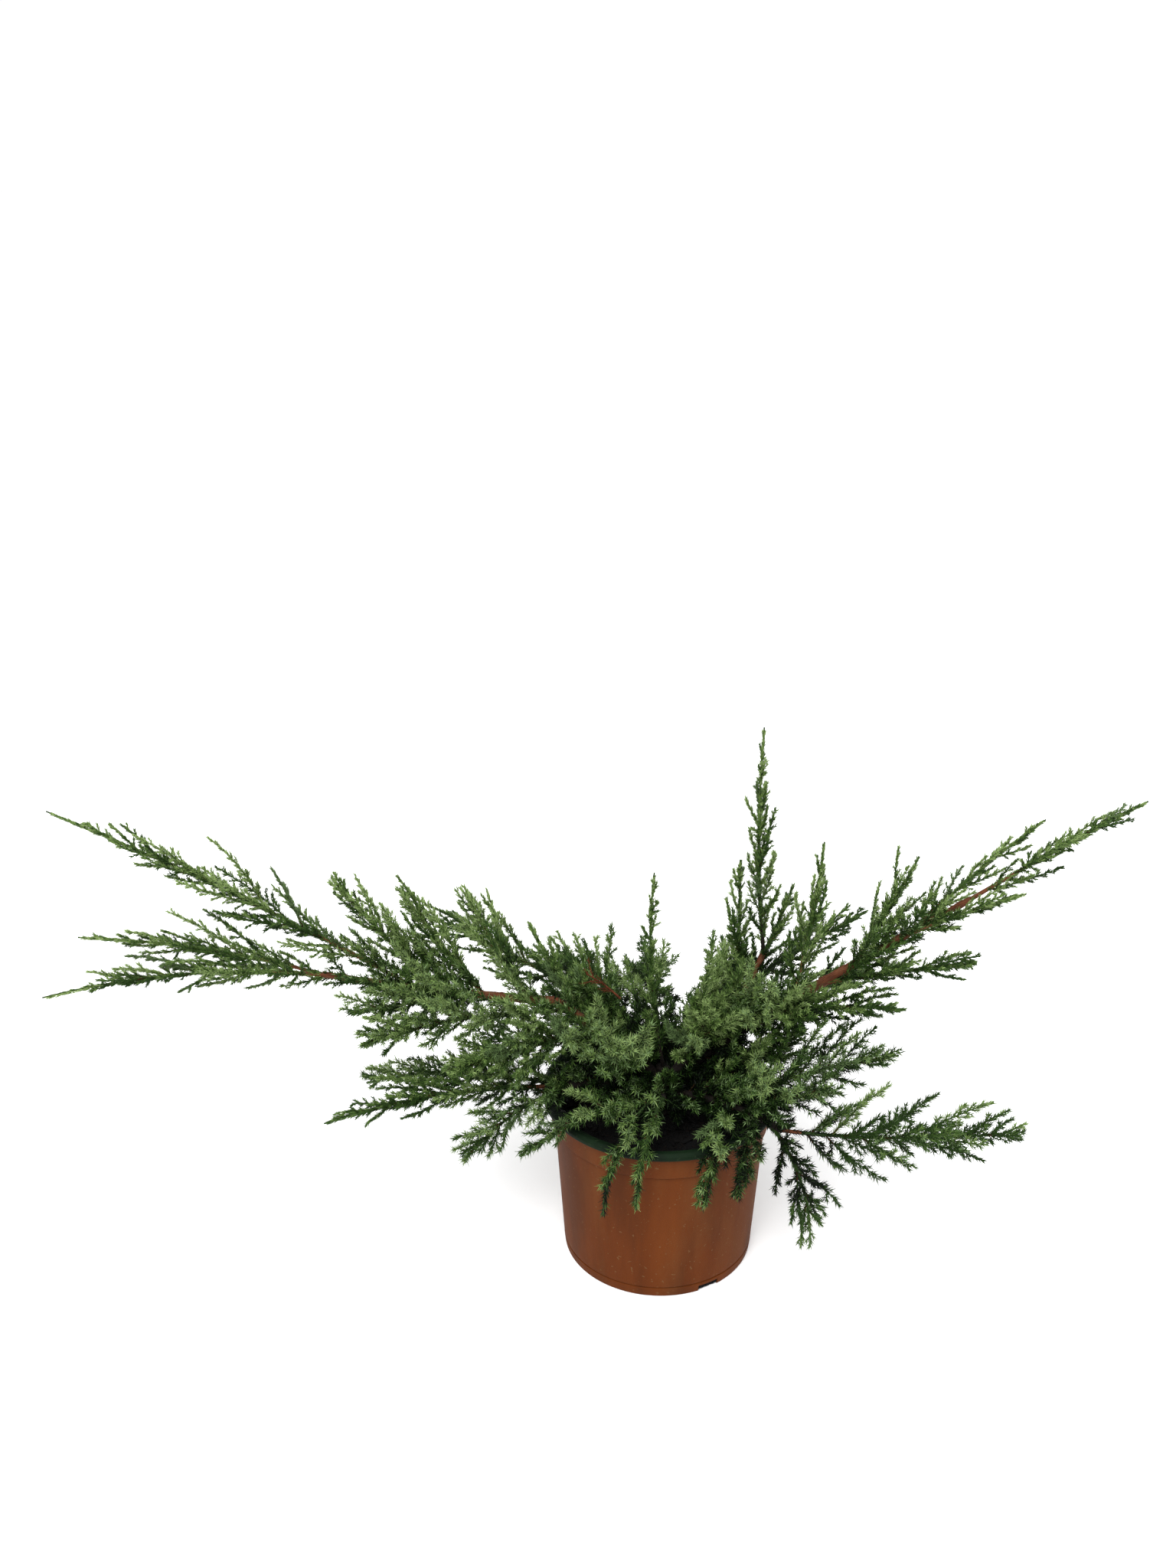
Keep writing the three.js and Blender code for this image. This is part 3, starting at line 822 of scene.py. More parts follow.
@dataclass
class MixBed:
    """The potting mix: a closed rough bed that rises to the stem's foot, with chips and needles on it."""

    pot: NurseryPot
    edge: float = 168.0
    crown: float = 180.0
    seat: float = 22.0
    bottom: float = 6.0
    rings: int = 110
    columns: int = 220
    roughness: float = 1.5
    octaves: int = 7
    longest_wave: float = 34.0
    chips: int = 620
    chip_length: Pair = (5.0, 17.0)
    chip_width: Pair = (0.25, 0.6)
    chip_thickness: Pair = (0.8, 2.4)
    chip_lift: float = 0.6
    fallen: int = 500
    fallen_length: Pair = (5.0, 9.0)
    fallen_width: float = 1.1
    fallen_lift: float = 1.8
    lean: float = 0.22
    seed: int = 11

    def level(self, out: Array) -> Array:
        """Height of the bed at a distance from the axis: level on the seat, then falling to the edge."""
        return lerp(self.crown, self.edge, ranged(out, self.seat, self.brim))

    @property
    def brim(self) -> float:
        """Radius of the bed's edge."""
        return self.pot.wall_radius(self.edge) - self.pot.wall - self.pot.clearance

    def relief(self, x: Array, y: Array) -> Array:
        """Lumps of the bed: a sum of crossing waves, each a share shorter and lower than the last.

        Args:
            x: places across.
            y: places towards the back.

        Returns:
            The height of the lumps there.
        """
        rng = np.random.default_rng(self.seed)
        total = np.zeros_like(x)
        for octave in range(self.octaves):
            heading, phase = rng.uniform(0, TURN, 2)
            waves = TURN / (self.longest_wave * 0.7**octave)
            line = x * math.cos(heading) + y * math.sin(heading)
            other = x * math.sin(heading) - y * math.cos(heading)
            total += 0.8**octave * np.sin(line * waves + phase) * np.cos(other * waves * 0.83 + 2 * phase)
        return self.roughness * total

    def surface(self) -> Skin:
        """The bed: underside, side along the wall, and a top of height level + relief, calm at its edge.

        Returns:
            The closed skin.
        """
        foot = self.pot.wall_radius(self.bottom) - self.pot.wall - 6
        side = np.array([[HUB, self.bottom], [foot, self.bottom], [self.brim, self.edge - 2]])
        up = Profile.stepped(side, 12.0)
        across = np.linspace(self.brim, HUB, self.rings)
        outline = np.concatenate([up, np.stack([across, self.level(across)], -1)])
        rings = self.pot.turned(outline, round_angles(self.columns))
        top = np.arange(len(outline))[:, None] >= len(up)
        calm = np.clip((self.brim - outline[:, :1]) / 6, 0, 1)
        rings[0, ..., 2] += top * calm * self.relief(rings[0, ..., 0], rings[0, ..., 1])
        return Skin.of_tubes(rings)

    def scattered(self, count: int, rng: np.random.Generator, lift: float) -> tuple[Array, Array]:
        """Places spread evenly over the bed, and directions in which things lie there.

        Radius = edge of the bed x square root of chance.

        Args:
            count: how many.
            rng: the stream of chance.
            lift: how far above the bed the places are.

        Returns:
            The places and the directions.
        """
        out = (self.brim - 4) * np.sqrt(rng.uniform(0.03, 1, count))
        angle = rng.uniform(0, TURN, count)
        x, y = out * np.cos(angle), out * np.sin(angle)
        places = np.stack([x, y, self.level(out) + self.relief(x, y) + lift], -1)
        heading = rng.uniform(0, TURN, count)
        lean = rng.normal(0, self.lean, count)
        ahead = np.stack([np.cos(heading) * np.cos(lean), np.sin(heading) * np.cos(lean), np.sin(lean)], -1)
        return places, ahead

    def chip_skin(self) -> Skin:
        """Bark chips: four-sided slabs of three rings, pinched at both ends and broken by chance.

        Returns:
            All chips as one skin.
        """
        rng = np.random.default_rng(self.seed + 1)
        places, ahead = self.scattered(self.chips, rng, self.chip_lift)
        length = rng.uniform(*self.chip_length, self.chips)
        wide = length * rng.uniform(*self.chip_width, self.chips)
        thick = rng.uniform(*self.chip_thickness, self.chips)
        above = square_to(UP + rng.normal(0, 0.35, (self.chips, 3)), ahead)
        side = np.cross(ahead, above)
        along = np.array([-0.5, -0.1, 0.5])[None, :, None]
        girth = np.array([0.55, 1.0, 0.5])[None, :, None] * rng.uniform(0.7, 1.2, (self.chips, 3, 4))
        corner = np.array([[1, -1], [1, 1], [-1, 1], [-1, -1]]) * 0.5
        rings = places[:, None, None] + (along * length[:, None, None])[..., None] * ahead[:, None, None]
        rings = rings + (girth * corner[:, 0] * wide[:, None, None])[..., None] * -side[:, None, None]
        rings = rings + (girth * corner[:, 1] * thick[:, None, None])[..., None] * above[:, None, None]
        return Skin.of_tubes(rings)

    def fallen_skin(self) -> Skin:
        """Fallen dead needles, lying over the mix.

        Returns:
            All of them as one skin.
        """
        rng = np.random.default_rng(self.seed + 2)
        places, ahead = self.scattered(self.fallen, rng, self.fallen_lift)
        length = rng.uniform(*self.fallen_length, self.fallen)
        return spikes(places, ahead, square_to(UP, ahead), length, self.fallen_width)

    def plugs(self) -> Skin:
        """A dark roll of mix across each drain notch, a little inside the wall: partly mix washed in, partly
        painted shade in the notch.

        Returns:
            The rolls as one skin.
        """
        rng = np.random.default_rng(self.seed + 3)
        pot, steps, sides = self.pot, 12, 10
        turns = math.radians(pot.notch_first) + round_angles(pot.notch_count)
        ahead = np.stack([-np.sin(turns), np.cos(turns), 0 * turns], -1)
        out = np.stack([np.cos(turns), np.sin(turns), 0 * turns], -1)
        length = np.full(pot.notch_count, pot.notch_width - 1.0)
        thick = pot.notch_height / 2 - 0.2
        root = out * (pot.base_radius - thick - 1.2) - ahead * length[:, None] / 2 + (thick + 0.1) * UP
        rolls = Lines(root, ahead, UP + 0 * ahead, length, 0 * length)
        radius = thick * rng.uniform(0.82, 1.0, (pot.notch_count, steps, sides))
        return Skin.of_tubes(rolls.rings(radius, sides))

    def build(self) -> None:
        """Makes, dresses and enters the mix and the litter on it."""
        # Painted shade: dark mix fills the notches, where shade would fall.
        enter(self.plugs().piece("mix_in_notches", [SHADED_MIX.material()]), "potting_mix")
        enter(self.surface().piece("potting_bed", [SHADED_MIX.material()]), "potting_mix", "potting_mix")
        enter(self.chip_skin().piece("bark_chips", [SHADED_CHIP.material()], smooth=False), "potting_mix")
        enter(self.fallen_skin().piece("fallen_needles", [SHADED_LITTER.material()], smooth=False), "potting_mix")


# ---------------------------------------------------------------- lines that shoots and limbs follow


@dataclass
class Lines:
    """A batch of circular arcs, one row each: `above` is square to `along`, and `curl` bends towards it."""

    root: Array
    along: Array
    above: Array
    length: Array
    curl: Array

    @staticmethod
    def swept(start: Array, tip: Array, arch: float) -> "Lines":
        """One arc in an upright plane from start to tip, on which the climb falls by `arch` degrees.

        Args:
            start: where it starts.
            tip: where it ends.
            arch: the fall of the climb, in degrees; negative sweeps upwards.

        Returns:
            A batch of one. Length = chord x half / sin(half); first climb = the chord's climb + half.
        """
        chord = tip - start
        reach = float(np.linalg.norm(chord))
        half = math.radians(arch) / 2
        heading = math.atan2(chord[1], chord[0])
        climb = math.asin(chord[2] / reach) + half
        level = np.array([math.cos(heading), math.sin(heading), 0.0])
        along = level * math.cos(climb) + UP * math.sin(climb)
        above = UP * math.cos(climb) - level * math.sin(climb)
        length = np.array([reach * half / math.sin(half)])
        return Lines(start[None], along[None], above[None], length, np.array([-2 * half]))

    def point(self, owner: Whole, place: Array) -> Array:
        """Points on arcs: root + length (sin(ct)/c along + (1 - cos(ct))/c above), c the curl, t the place.

        Args:
            owner: the row of each point's arc.
            place: its share of the arc's length.

        Returns:
            The points.
        """
        least = 1e-4
        curl = np.where(np.abs(self.curl[owner]) < least, least, self.curl[owner])
        ahead = (np.sin(curl * place) / curl)[..., None] * self.along[owner]
        aside = ((1 - np.cos(curl * place)) / curl)[..., None] * self.above[owner]
        return self.root[owner] + self.length[owner][..., None] * (ahead + aside)

    def frame(self, owner: Whole, place: Array) -> tuple[Array, Array, Array]:
        """The ways ahead, up and aside at places on arcs: along and above, turned by curl x place.

        Args:
            owner: the row of each place's arc.
            place: its share of the arc's length.

        Returns:
            The three directions, square to each other.
        """
        turn = self.curl[owner] * place
        along, above = self.along[owner], self.above[owner]
        ahead, up = swing(along, above, turn), swing(above, -along, turn)
        return ahead, up, np.cross(up, ahead)

    def rings(self, radius: Array, sides: int) -> Array:
        """Rings of points round every line, evenly spaced.

        Args:
            radius: by (line, ring) or (line, ring, side).
            sides: points of a ring.

        Returns:
            Points by (line, ring, side, xyz): centre + radius (cos a aside + sin a up), anticlockwise.
        """
        count, steps = radius.shape[:2]
        owner = np.repeat(np.arange(count)[:, None], steps, 1)
        place = np.repeat(np.linspace(0, 1, steps)[None], count, 0)
        centre = self.point(owner, place)
        _, up, aside = self.frame(owner, place)
        wide = radius if radius.ndim == 3 else radius[..., None]
        around = swing(-aside[:, :, None], up[:, :, None], round_angles(sides))
        return centre[:, :, None] + wide[..., None] * around[:, :, ::-1]

    def picked(self, which: NDArray) -> "Lines":
        """The chosen rows."""
        return replace(self, **{item.name: getattr(self, item.name)[which] for item in fields(self)})

    @classmethod
    def joined(cls, batches: list["Lines"]) -> "Lines":
        """One batch of all rows."""
        return cls(**{item.name: np.concatenate([getattr(batch, item.name) for batch in batches])
                      for item in fields(cls)})


@dataclass
class Shoots(Lines):
    """Leafy shoots: arcs with a thickness, how far their needles stand off, a tone, a region and a habit."""

    girth: Array
    spreading: Array
    tone: Whole
    region: Whole
    habit: Whole
    rank: Whole


# ---------------------------------------------------------------- limbs


class Region(Numbered):
    """The parts of the crown that are joined into pieces of their own."""

    LEFT_PLUMES = "left_plumes"
    LEFT_FANS = "left_fans"
    LEFT_UNDER = "left_under"
    LOW_LEFT = "low_left"
    RIGHT_PLUMES = "right_plumes"
    RIGHT_SIDE = "right_side"
    LOW_RIGHT = "low_right"
    SPIRES = "spires"
    MOUND = "mound"
    FRONT = "front"
    BACK_LEFT = "back_left"
    BACK_RIGHT = "back_right"
    BACK_LOW = "back_low"


@dataclass(frozen=True)
class Branch:
    """What leaves limb `on` at a share `at` of its length for `tip`, its climb falling by `arch` degrees."""

    name: str
    on: str
    at: float
    tip: Point
    arch: float


@dataclass(frozen=True)
class Bough(Branch):
    """A limb. `root` and `end` are its radii, and `spray` is the length of its longest side shoots.

    Its `inner` share, from its foot, has a darker copy of the bark, painted shade of the crown's inside.
    Sprays keep off `bare` parts.
    """

    root: float
    end: float
    spray: float
    region: Region
    inner: float = 0.0
    bare: tuple[Pair, ...] = ()


@dataclass
class Limbs:
    """The stem and the boughs, each with the relief of its stringy bark."""

    bed: MixBed
    stem_tip: Point = (3.0, 2.0, 234.0)
    stem_arch: float = 4.0
    stem_root: float = 9.5
    stem_end: float = 8.0
    flare: float = 8.0
    flare_height: float = 12.0
    ring_step: float = 1.6
    sides: int = 30
    ridges: tuple[Pair, ...] = ((3, 0.5), (5, 0.8), (8, 0.7), (13, 0.45))
    knot_spacing: float = 30.0
    knot_reach: float = 5.0
    seed: int = 5
    boughs: tuple[Bough, ...] = (
        Bough("left_riser", "stem", 0.66, (-120, 10, 315), 10, 6.5, 5.4, 74, Region.LEFT_UNDER, 0.6),
        Bough("left_bough", "left_riser", 1, (-375, 0, 355), -6, 5.3, 3.2, 86, Region.LEFT_FANS,
              bare=((0, 0.26), (0.71, 0.85))),
        Bough("right_bough", "stem", 0.66, (335, 15, 440), 5, 6.8, 3.2, 78, Region.RIGHT_PLUMES, 0.32,
              bare=((0.38, 0.6), (0.9, 1))),
        Bough("spire_bough", "right_bough", 0.16, (115, 40, 360), -14, 4.6, 3.4, 60, Region.SPIRES, 0.5),
        Bough("low_left_bough", "stem", 0.36, (-130, -55, 245), 18, 4.6, 3.4, 54, Region.LOW_LEFT, 1),
        Bough("low_right_bough", "stem", 0.36, (128, -100, 219), 34, 4.8, 3.6, 74, Region.LOW_RIGHT, 1),
        Bough("back_left_bough", "stem", 0.4, (-90, 85, 280), 12, 4.6, 3.4, 66, Region.BACK_LEFT, 1),
        Bough("back_right_bough", "stem", 0.4, (85, 90, 275), 12, 4.6, 3.4, 66, Region.BACK_RIGHT, 1),
        Bough("back_low_bough", "stem", 0.26, (0, 115, 235), 14, 4.2, 3.2, 60, Region.BACK_LOW, 1),
        Bough("front_bough", "stem", 0.44, (0, -70, 240), 10, 4, 3.2, 66, Region.FRONT, 1),
    )
    lines: dict[str, Lines] = field(default_factory=dict)

    def __post_init__(self) -> None:
        """Works out the line of every limb, each from its place on the limb that carries it."""
        foot = np.array([0.0, 0.0, self.bed.crown + self.bed.pot.clearance])
        self.lines["stem"] = Lines.swept(foot, np.array(self.stem_tip), self.stem_arch)
        for bough in self.boughs:
            self.lines[bough.name] = self.line(bough)

    def line(self, branch: Branch) -> Lines:
        """The line of a branch, from its place on the limb that carries it."""
        start = self.lines[branch.on].point(np.array([0]), np.array([float(branch.at)]))[0]
        return Lines.swept(start, np.array(branch.tip, float), branch.arch)

    def relief(self, steps: int, length: float, rng: np.random.Generator) -> Array:
        """Share by which the bark swells a limb, by (ring, side).

        A sum of ridges cos(n a + twist + wobble), n and weight from `ridges`, sharpened into strips, plus a
        knot for every `knot_spacing` and a slow swell along the length.

        Args:
            steps: number of rings.
            length: of the limb.
            rng: the stream of chance.

        Returns:
            The share, about 0.
        """
        angle = round_angles(self.sides)
        run = np.linspace(0, length, steps)[:, None]
        total = np.zeros((steps, self.sides))
        for number, weight in self.ridges:
            phase, drift = rng.uniform(0, TURN, 2)
            wobble = 1.3 * np.sin(run * TURN / rng.uniform(24, 60) + drift)
            strip = np.cos(number * angle + phase + 0.02 * run * number * rng.uniform(0.3, 1) + wobble)
            total += weight * (1 - np.abs(strip)) ** 1.5
        knots = sum(
            rng.uniform(0.04, 0.1) * np.exp(-(((run - rng.uniform(0, length)) / self.knot_reach) ** 2))
            for _ in range(int(length / self.knot_spacing))
        )
        return 0.16 * (total - 0.9) + knots + 0.05 * np.sin(run * TURN / 37 + rng.uniform(0, TURN))

    def skin(self, name: str, root: float, end: float, inner: float, flare: float = 0.0) -> Skin:
        """A limb: an even taper under the bark's relief, its foot wider by flare x exp(-run / flare height).

        Args:
            name: of the limb.
            root: radius at its start.
            end: radius at its tip.
            inner: share of it, from its foot, that has the darker bark of painted shade.
            flare: what its foot is thicker by.

        Returns:
            The closed skin with its map of girth and length, in metres.
        """
        line = self.lines[name]
        length = float(line.length[0])
        steps = max(8, round(length / self.ring_step))
        rng = np.random.default_rng(self.seed + sorted(self.lines).index(name))
        run = np.linspace(0, length, steps)
        fade = np.exp(-run / self.flare_height)[:, None]
        radius = lerp(root, end, run / length)[:, None] + flare * fade
        lobes = 0.22 * flare * fade * np.cos(4 * round_angles(self.sides) + 0.8)
        rings = line.rings((radius * (1 + self.relief(steps, length, rng)) + lobes)[None], self.sides)
        around = np.arange(self.sides + 1) / self.sides * TURN * root * MM
        chart = np.stack(np.broadcast_arrays(around[None], run[:, None] * MM), -1)[None]
        finish = (np.linspace(0, 1, steps)[1:] <= inner).astype(int)[None]
        return Skin.of_tubes(rings, finish=finish, chart=chart)

    def build(self) -> None:
        """Makes, dresses and enters the stem and every bough."""
        finishes = [BARK.material(), SHADED_BARK.material()]
        stem = self.skin("stem", self.stem_root, self.stem_end, 1.0, self.flare)
        enter(stem.piece("bark_stem", finishes), "bark", "stem")
        for bough in self.boughs:
            limb = self.skin(bough.name, bough.root, bough.end, bough.inner)
            enter(limb.piece(f"bark_{bough.name}", finishes), "bark", bough.name)


# ---------------------------------------------------------------- foliage


@dataclass(frozen=True)
class Growth:
    """How one kind of mass grows; pairs give the foot and the tip of its stem.

    Opening is how far needles stand off (0 pressed, 1 spreading). Spacing, angle, reach and taper size and
    place the side shoots, upturn and lift raise and curl them, and the twig sizes are for the twigs on them.
    The stem is bare bark for its `barked` share.
    """

    opening: Pair
    spacing: float
    angle: Pair
    reach: float
    taper: float
    upturn: float
    lift: float
    twig_share: float
    twig_spacing: float
    twig_most: float
    barked: float


class Habit(Numbered):
    """The kinds of growth of the crown."""

    WHIP = Growth((0.35, 0.0), 9.8, (40.0, 17.0), 1.0, 1.8, 0.06, 0.05, 0.15, 5.0, 14.0, 0.3)
    FAN = Growth((0.4, 0.1), 8.0, (38.0, 22.0), 1.0, 1.4, 0.15, 0.15, 0.18, 4.8, 16.0, 0.16)
    BROAD = Growth((0.8, 0.5), 7.2, (58.0, 36.0), 1.0, 1.0, 0.25, 0.1, 0.25, 5.0, 20.0, 0.1)
    MOUND = Growth((0.65, 0.3), 4.2, (58.0, 30.0), 1.0, 1.0, 0.3, 0.2, 0.26, 5.2, 22.0, 0.1)
    FEATHER = Growth((1.0, 0.8), 5.6, (56.0, 36.0), 0.95, 1.0, 0.1, 0.1, 0.26, 5.6, 20.0, 0.12)
    TASSEL = Growth((1.0, 0.8), 7.5, (34.0, 22.0), 0.54, 1.2, 0.1, 0.0, 0.22, 5.8, 14.0, 0.0)
    BUNDLE = Growth((1.0, 0.8), 4.4, (42.0, 26.0), 0.72, 0.9, 0.1, 0.0, 0.26, 5.4, 18.0, 0.0)
    COLUMN = Growth((0.4, 0.1), 9.8, (38.0, 28.0), 0.62, 0.6, 0.1, 0.1, 0.26, 4.6, 14.0, 0.2)
    DROP = Growth((0.7, 0.4), 8.0, (66.0, 28.0), 1.02, 0.9, 0.2, 0.0, 0.24, 5.0, 18.0, 0.0)
    BOUGH = Growth((0.65, 0.5), 4.9, (62.0, 46.0), 1.0, 0.7, 0.3, 0.5, 0.28, 5.2, 24.0, 0.0)

    @staticmethod
    def sizes(numbers: Whole, name: str) -> Array:
        """One size of the growth, for each of the habits' numbers."""
        return np.array([getattr(habit.value, name) for habit in Habit])[numbers]

    @staticmethod
    def graded(numbers: Whole, name: str, place: Array) -> Array:
        """A size that runs from its value at the foot to its value at the tip, at a place between them."""
        pair = Habit.sizes(numbers, name)
        return lerp(pair[:, 0], pair[:, 1], place)


@dataclass(frozen=True)
class Mass(Branch):
    """A plume; `spray` is the length of its longest side shoots."""

    spray: float
    region: Region
    habit: Habit


MASSES = (
    Mass("left_tip", "left_bough", 1, (-630, -25, 415), 16, 84, Region.LEFT_PLUMES, Habit.WHIP),
    Mass("left_upper", "left_bough", 0.6, (-675, 60, 525), 8, 106, Region.LEFT_PLUMES, Habit.WHIP),
    Mass("left_lower", "left_bough", 0.86, (-650, -100, 385), 26, 84, Region.LEFT_PLUMES, Habit.WHIP),
    Mass("left_fan_outer", "left_bough", 0.5, (-366, 45, 452), -6, 86, Region.LEFT_FANS, Habit.FAN),
    Mass("left_fan_middle", "left_bough", 0.3, (-295, 80, 420), -14, 84, Region.LEFT_FANS, Habit.FAN),
    Mass("left_fan_inner", "left_bough", 0.1, (-220, 80, 415), -24, 84, Region.LEFT_FANS, Habit.FAN),
    Mass("left_fan_root", "left_riser", 0.7, (-150, 75, 380), -10, 42, Region.LEFT_FANS, Habit.FAN),
    Mass("left_under_outer", "left_bough", 0.34, (-335, -60, 340), 8, 84, Region.LEFT_UNDER, Habit.BROAD),
    Mass("left_under_inner", "left_riser", 0.86, (-320, -110, 335), 20, 86, Region.LEFT_UNDER, Habit.BROAD),
    Mass("left_front", "left_riser", 0.5, (-225, -135, 315), 26, 80, Region.LEFT_UNDER, Habit.MOUND),
    Mass("low_left_tip", "low_left_bough", 1, (-365, -110, 235), 22, 76, Region.LOW_LEFT, Habit.FAN),
    Mass("low_left_upper", "low_left_bough", 0.88, (-330, -25, 230), 30, 72, Region.LOW_LEFT, Habit.BROAD),
    Mass("low_left_drop", "low_left_bough", 0.76, (-215, -135, 205), 44, 60, Region.LOW_LEFT, Habit.FEATHER),
    Mass("right_tip", "right_bough", 1, (515, 20, 555), 5, 84, Region.RIGHT_PLUMES, Habit.WHIP),
    Mass("right_spire", "right_bough", 0.44, (175, 35, 500), -16, 64, Region.RIGHT_PLUMES, Habit.WHIP),
    Mass("right_upper_middle", "right_bough", 0.64, (285, 60, 470), -10, 68, Region.RIGHT_PLUMES, Habit.WHIP),
    Mass("right_parallel", "right_bough", 0.82, (420, 60, 515), 12, 68, Region.RIGHT_PLUMES, Habit.WHIP),
    Mass("right_under", "right_bough", 0.78, (385, -20, 465), 8, 60, Region.RIGHT_PLUMES, Habit.WHIP),
    Mass("right_side_upper", "right_bough", 0.52, (340, -20, 380), 8, 80, Region.RIGHT_SIDE, Habit.FAN),
    Mass("right_side_lower", "right_bough", 0.36, (255, -75, 355), 18, 78, Region.RIGHT_SIDE, Habit.FAN),
    Mass("right_side_back", "right_bough", 0.3, (250, 110, 300), 14, 80, Region.RIGHT_SIDE, Habit.FAN),
    Mass("right_side_low", "low_right_bough", 0.5, (250, -85, 305), 14, 78, Region.RIGHT_SIDE, Habit.FEATHER),
    Mass("right_front", "low_right_bough", 0.7, (185, -125, 284), 16, 58, Region.RIGHT_SIDE, Habit.FEATHER),
    Mass("low_right_tip", "low_right_bough", 1, (384, -112, 226), -16, 88, Region.LOW_RIGHT, Habit.BROAD),
    Mass("low_right_drop", "low_right_bough", 0.9, (158, -142, 118), 58, 70, Region.LOW_RIGHT, Habit.DROP),
    Mass("spire", "spire_bough", 1, (105, 45, 630), -10, 52, Region.SPIRES, Habit.FAN),
    Mass("spire_right", "spire_bough", 0.82, (150, 80, 425), -14, 50, Region.SPIRES, Habit.FAN),
    Mass("spire_left", "spire_bough", 0.5, (88, 68, 462), -18, 62, Region.SPIRES, Habit.FAN),
    Mass("centre_left", "stem", 1, (-10, 20, 470), -26, 42, Region.SPIRES, Habit.COLUMN),
    Mass("mound_left", "left_riser", 0.34, (-100, 30, 340), -6, 50, Region.MOUND, Habit.MOUND),
    Mass("mound_middle", "right_bough", 0.1, (50, -60, 335), 24, 84, Region.MOUND, Habit.MOUND),
    Mass("mound_right", "right_bough", 0.3, (150, -75, 345), 26, 80, Region.MOUND, Habit.MOUND),
    Mass("mound_front", "low_left_bough", 0.34, (-55, -85, 310), 26, 76, Region.MOUND, Habit.FEATHER),
    Mass("mound_low_right", "low_right_bough", 0.26, (156, -8, 282), 6, 78, Region.MOUND, Habit.MOUND),
    Mass("front_far_left", "front_bough", 0.4, (-155, -140, 215), 30, 48, Region.FRONT, Habit.FEATHER),
    Mass("front_left", "front_bough", 0.74, (-66, -160, 152), 112, 60, Region.FRONT, Habit.TASSEL),
    Mass("front_middle", "front_bough", 1, (-31, -164, 163), 100, 56, Region.FRONT, Habit.TASSEL),
    Mass("front_right", "low_right_bough", 0.58, (42, -164, 170), 76, 62, Region.FRONT, Habit.BUNDLE),
    Mass("back_left", "back_left_bough", 1, (-275, 190, 325), 10, 92, Region.BACK_LEFT, Habit.FAN),
    Mass("back_left_fan", "back_left_bough", 0.5, (-120, 215, 245), 30, 80, Region.BACK_LEFT, Habit.MOUND),
    Mass("back_right", "back_right_bough", 1, (260, 205, 325), 10, 76, Region.BACK_RIGHT, Habit.FAN),
    Mass("back_right_fan", "back_right_bough", 0.5, (110, 225, 242), 30, 80, Region.BACK_RIGHT, Habit.MOUND),
    Mass("back_low_left", "back_low_bough", 0.66, (-125, 230, 175), 36, 80, Region.BACK_LOW, Habit.FEATHER),
    Mass("back_low", "back_low_bough", 1, (-10, 300, 190), 36, 80, Region.BACK_LOW, Habit.FEATHER),
    Mass("back_low_right", "back_low_bough", 0.54, (140, 215, 170), 36, 80, Region.BACK_LOW, Habit.FEATHER),
    Mass("front_far_right", "low_right_bough", 0.8, (76, -160, 178), 76, 60, Region.FRONT, Habit.BUNDLE),
)


def spikes(base: Array, ahead: Array, out: Array, length: Array, width: Array | float,
           tone: Whole | int = 0, inner: Whole | int = 0) -> Skin:
    """Needles: closed four-faced spikes, flat on the side that faces the shoot, keeled on the other.

    Corners = base + half the width to each side, base + half the width outwards, and base + length ahead.

    Args:
        base: where each needle is rooted.
        ahead: where it points.
        out: the way from its flat side to its keel, square to `ahead`.
        length: of each needle.
        width: of its foot.
        tone: finish number of its keeled faces.
        inner: finish number of its flat face.

    Returns:
        The joined skin.
    """
    count = len(base)
    half = np.broadcast_to(width / 2, count)[:, None]
    side = half * np.cross(out, ahead)
    corners = np.stack([base - side, base + side, base + half * out, base + length[:, None] * ahead], 1)
    faces = 4 * np.arange(count)[:, None, None] + np.array([[0, 1, 3], [1, 2, 3], [2, 0, 3], [0, 2, 1]])
    finish = np.stack([np.broadcast_to(number, count) for number in (inner, tone, tone, tone)], 1)
    return Skin(corners.reshape(-1, 3), faces.reshape(-1, 3), finish.reshape(-1))


@dataclass(frozen=True)
class ShootRule:
    """How side shoots stand on a line: the source's rule. Spacing, angles and taper come from the habit.

    A `short_share` of them has a `short` part of the full length, the others a `long` one, and those on top
    are longer by `upper`. Rooted on a bough nearer the axis than `near[0]` and lower than `near[1]`, they are
    painted two tones darker, as shade of the crown's inside.
    """

    first: float = 0.08
    last: float = 0.97
    jitter: Pair = (0.1, 0.9)
    turn: float = 137.5
    roll_scatter: float = 0.25
    angle_scatter: float = 5.0
    scatter: float = 0.1
    flatten: float = 0.8
    short_share: float = 0.35
    short: Pair = (0.3, 0.7)
    long: Pair = (0.8, 1.12)
    swell: Pair = (0.3, 0.66)
    upper: float = 0.2
    least: float = 5.0
    curl: Pair = (0.2, 0.6)
    girth: float = 1.15
    near: Pair = (150.0, 236.0)


@dataclass(frozen=True)
class TwigRule:
    """How twigs stand on shoots longer than `carrier`: to each side by turns, shorter towards the tip.

    Those in the `shaded` share next to the stem are painted a tone darker as shade, those in its first half
    two, and those that droop by more than `droop` under the shoot one more, as shade on their undersides. A
    `paler` share of all, chosen by chance, is a tone paler.
    """

    carrier: float = 14.0
    first: float = 0.08
    last: float = 0.93
    angle: Pair = (48.0, 34.0)
    least: float = 4.5
    roll_scatter: float = 0.5
    curl: Pair = (0.02, 0.45)
    girth: float = 0.8
    closeness: float = 1.0
    shaded: float = 0.36
    paler: float = 0.25
    jitter: Pair = (0.15, 0.85)
    angle_scatter: float = 6.0
    scatter: float = 0.1
    lengths: Pair = (0.6, 1.15)
    fall: float = 0.8
    roll: float = 0.2
    lift: float = 0.15
    droop: float = 0.25


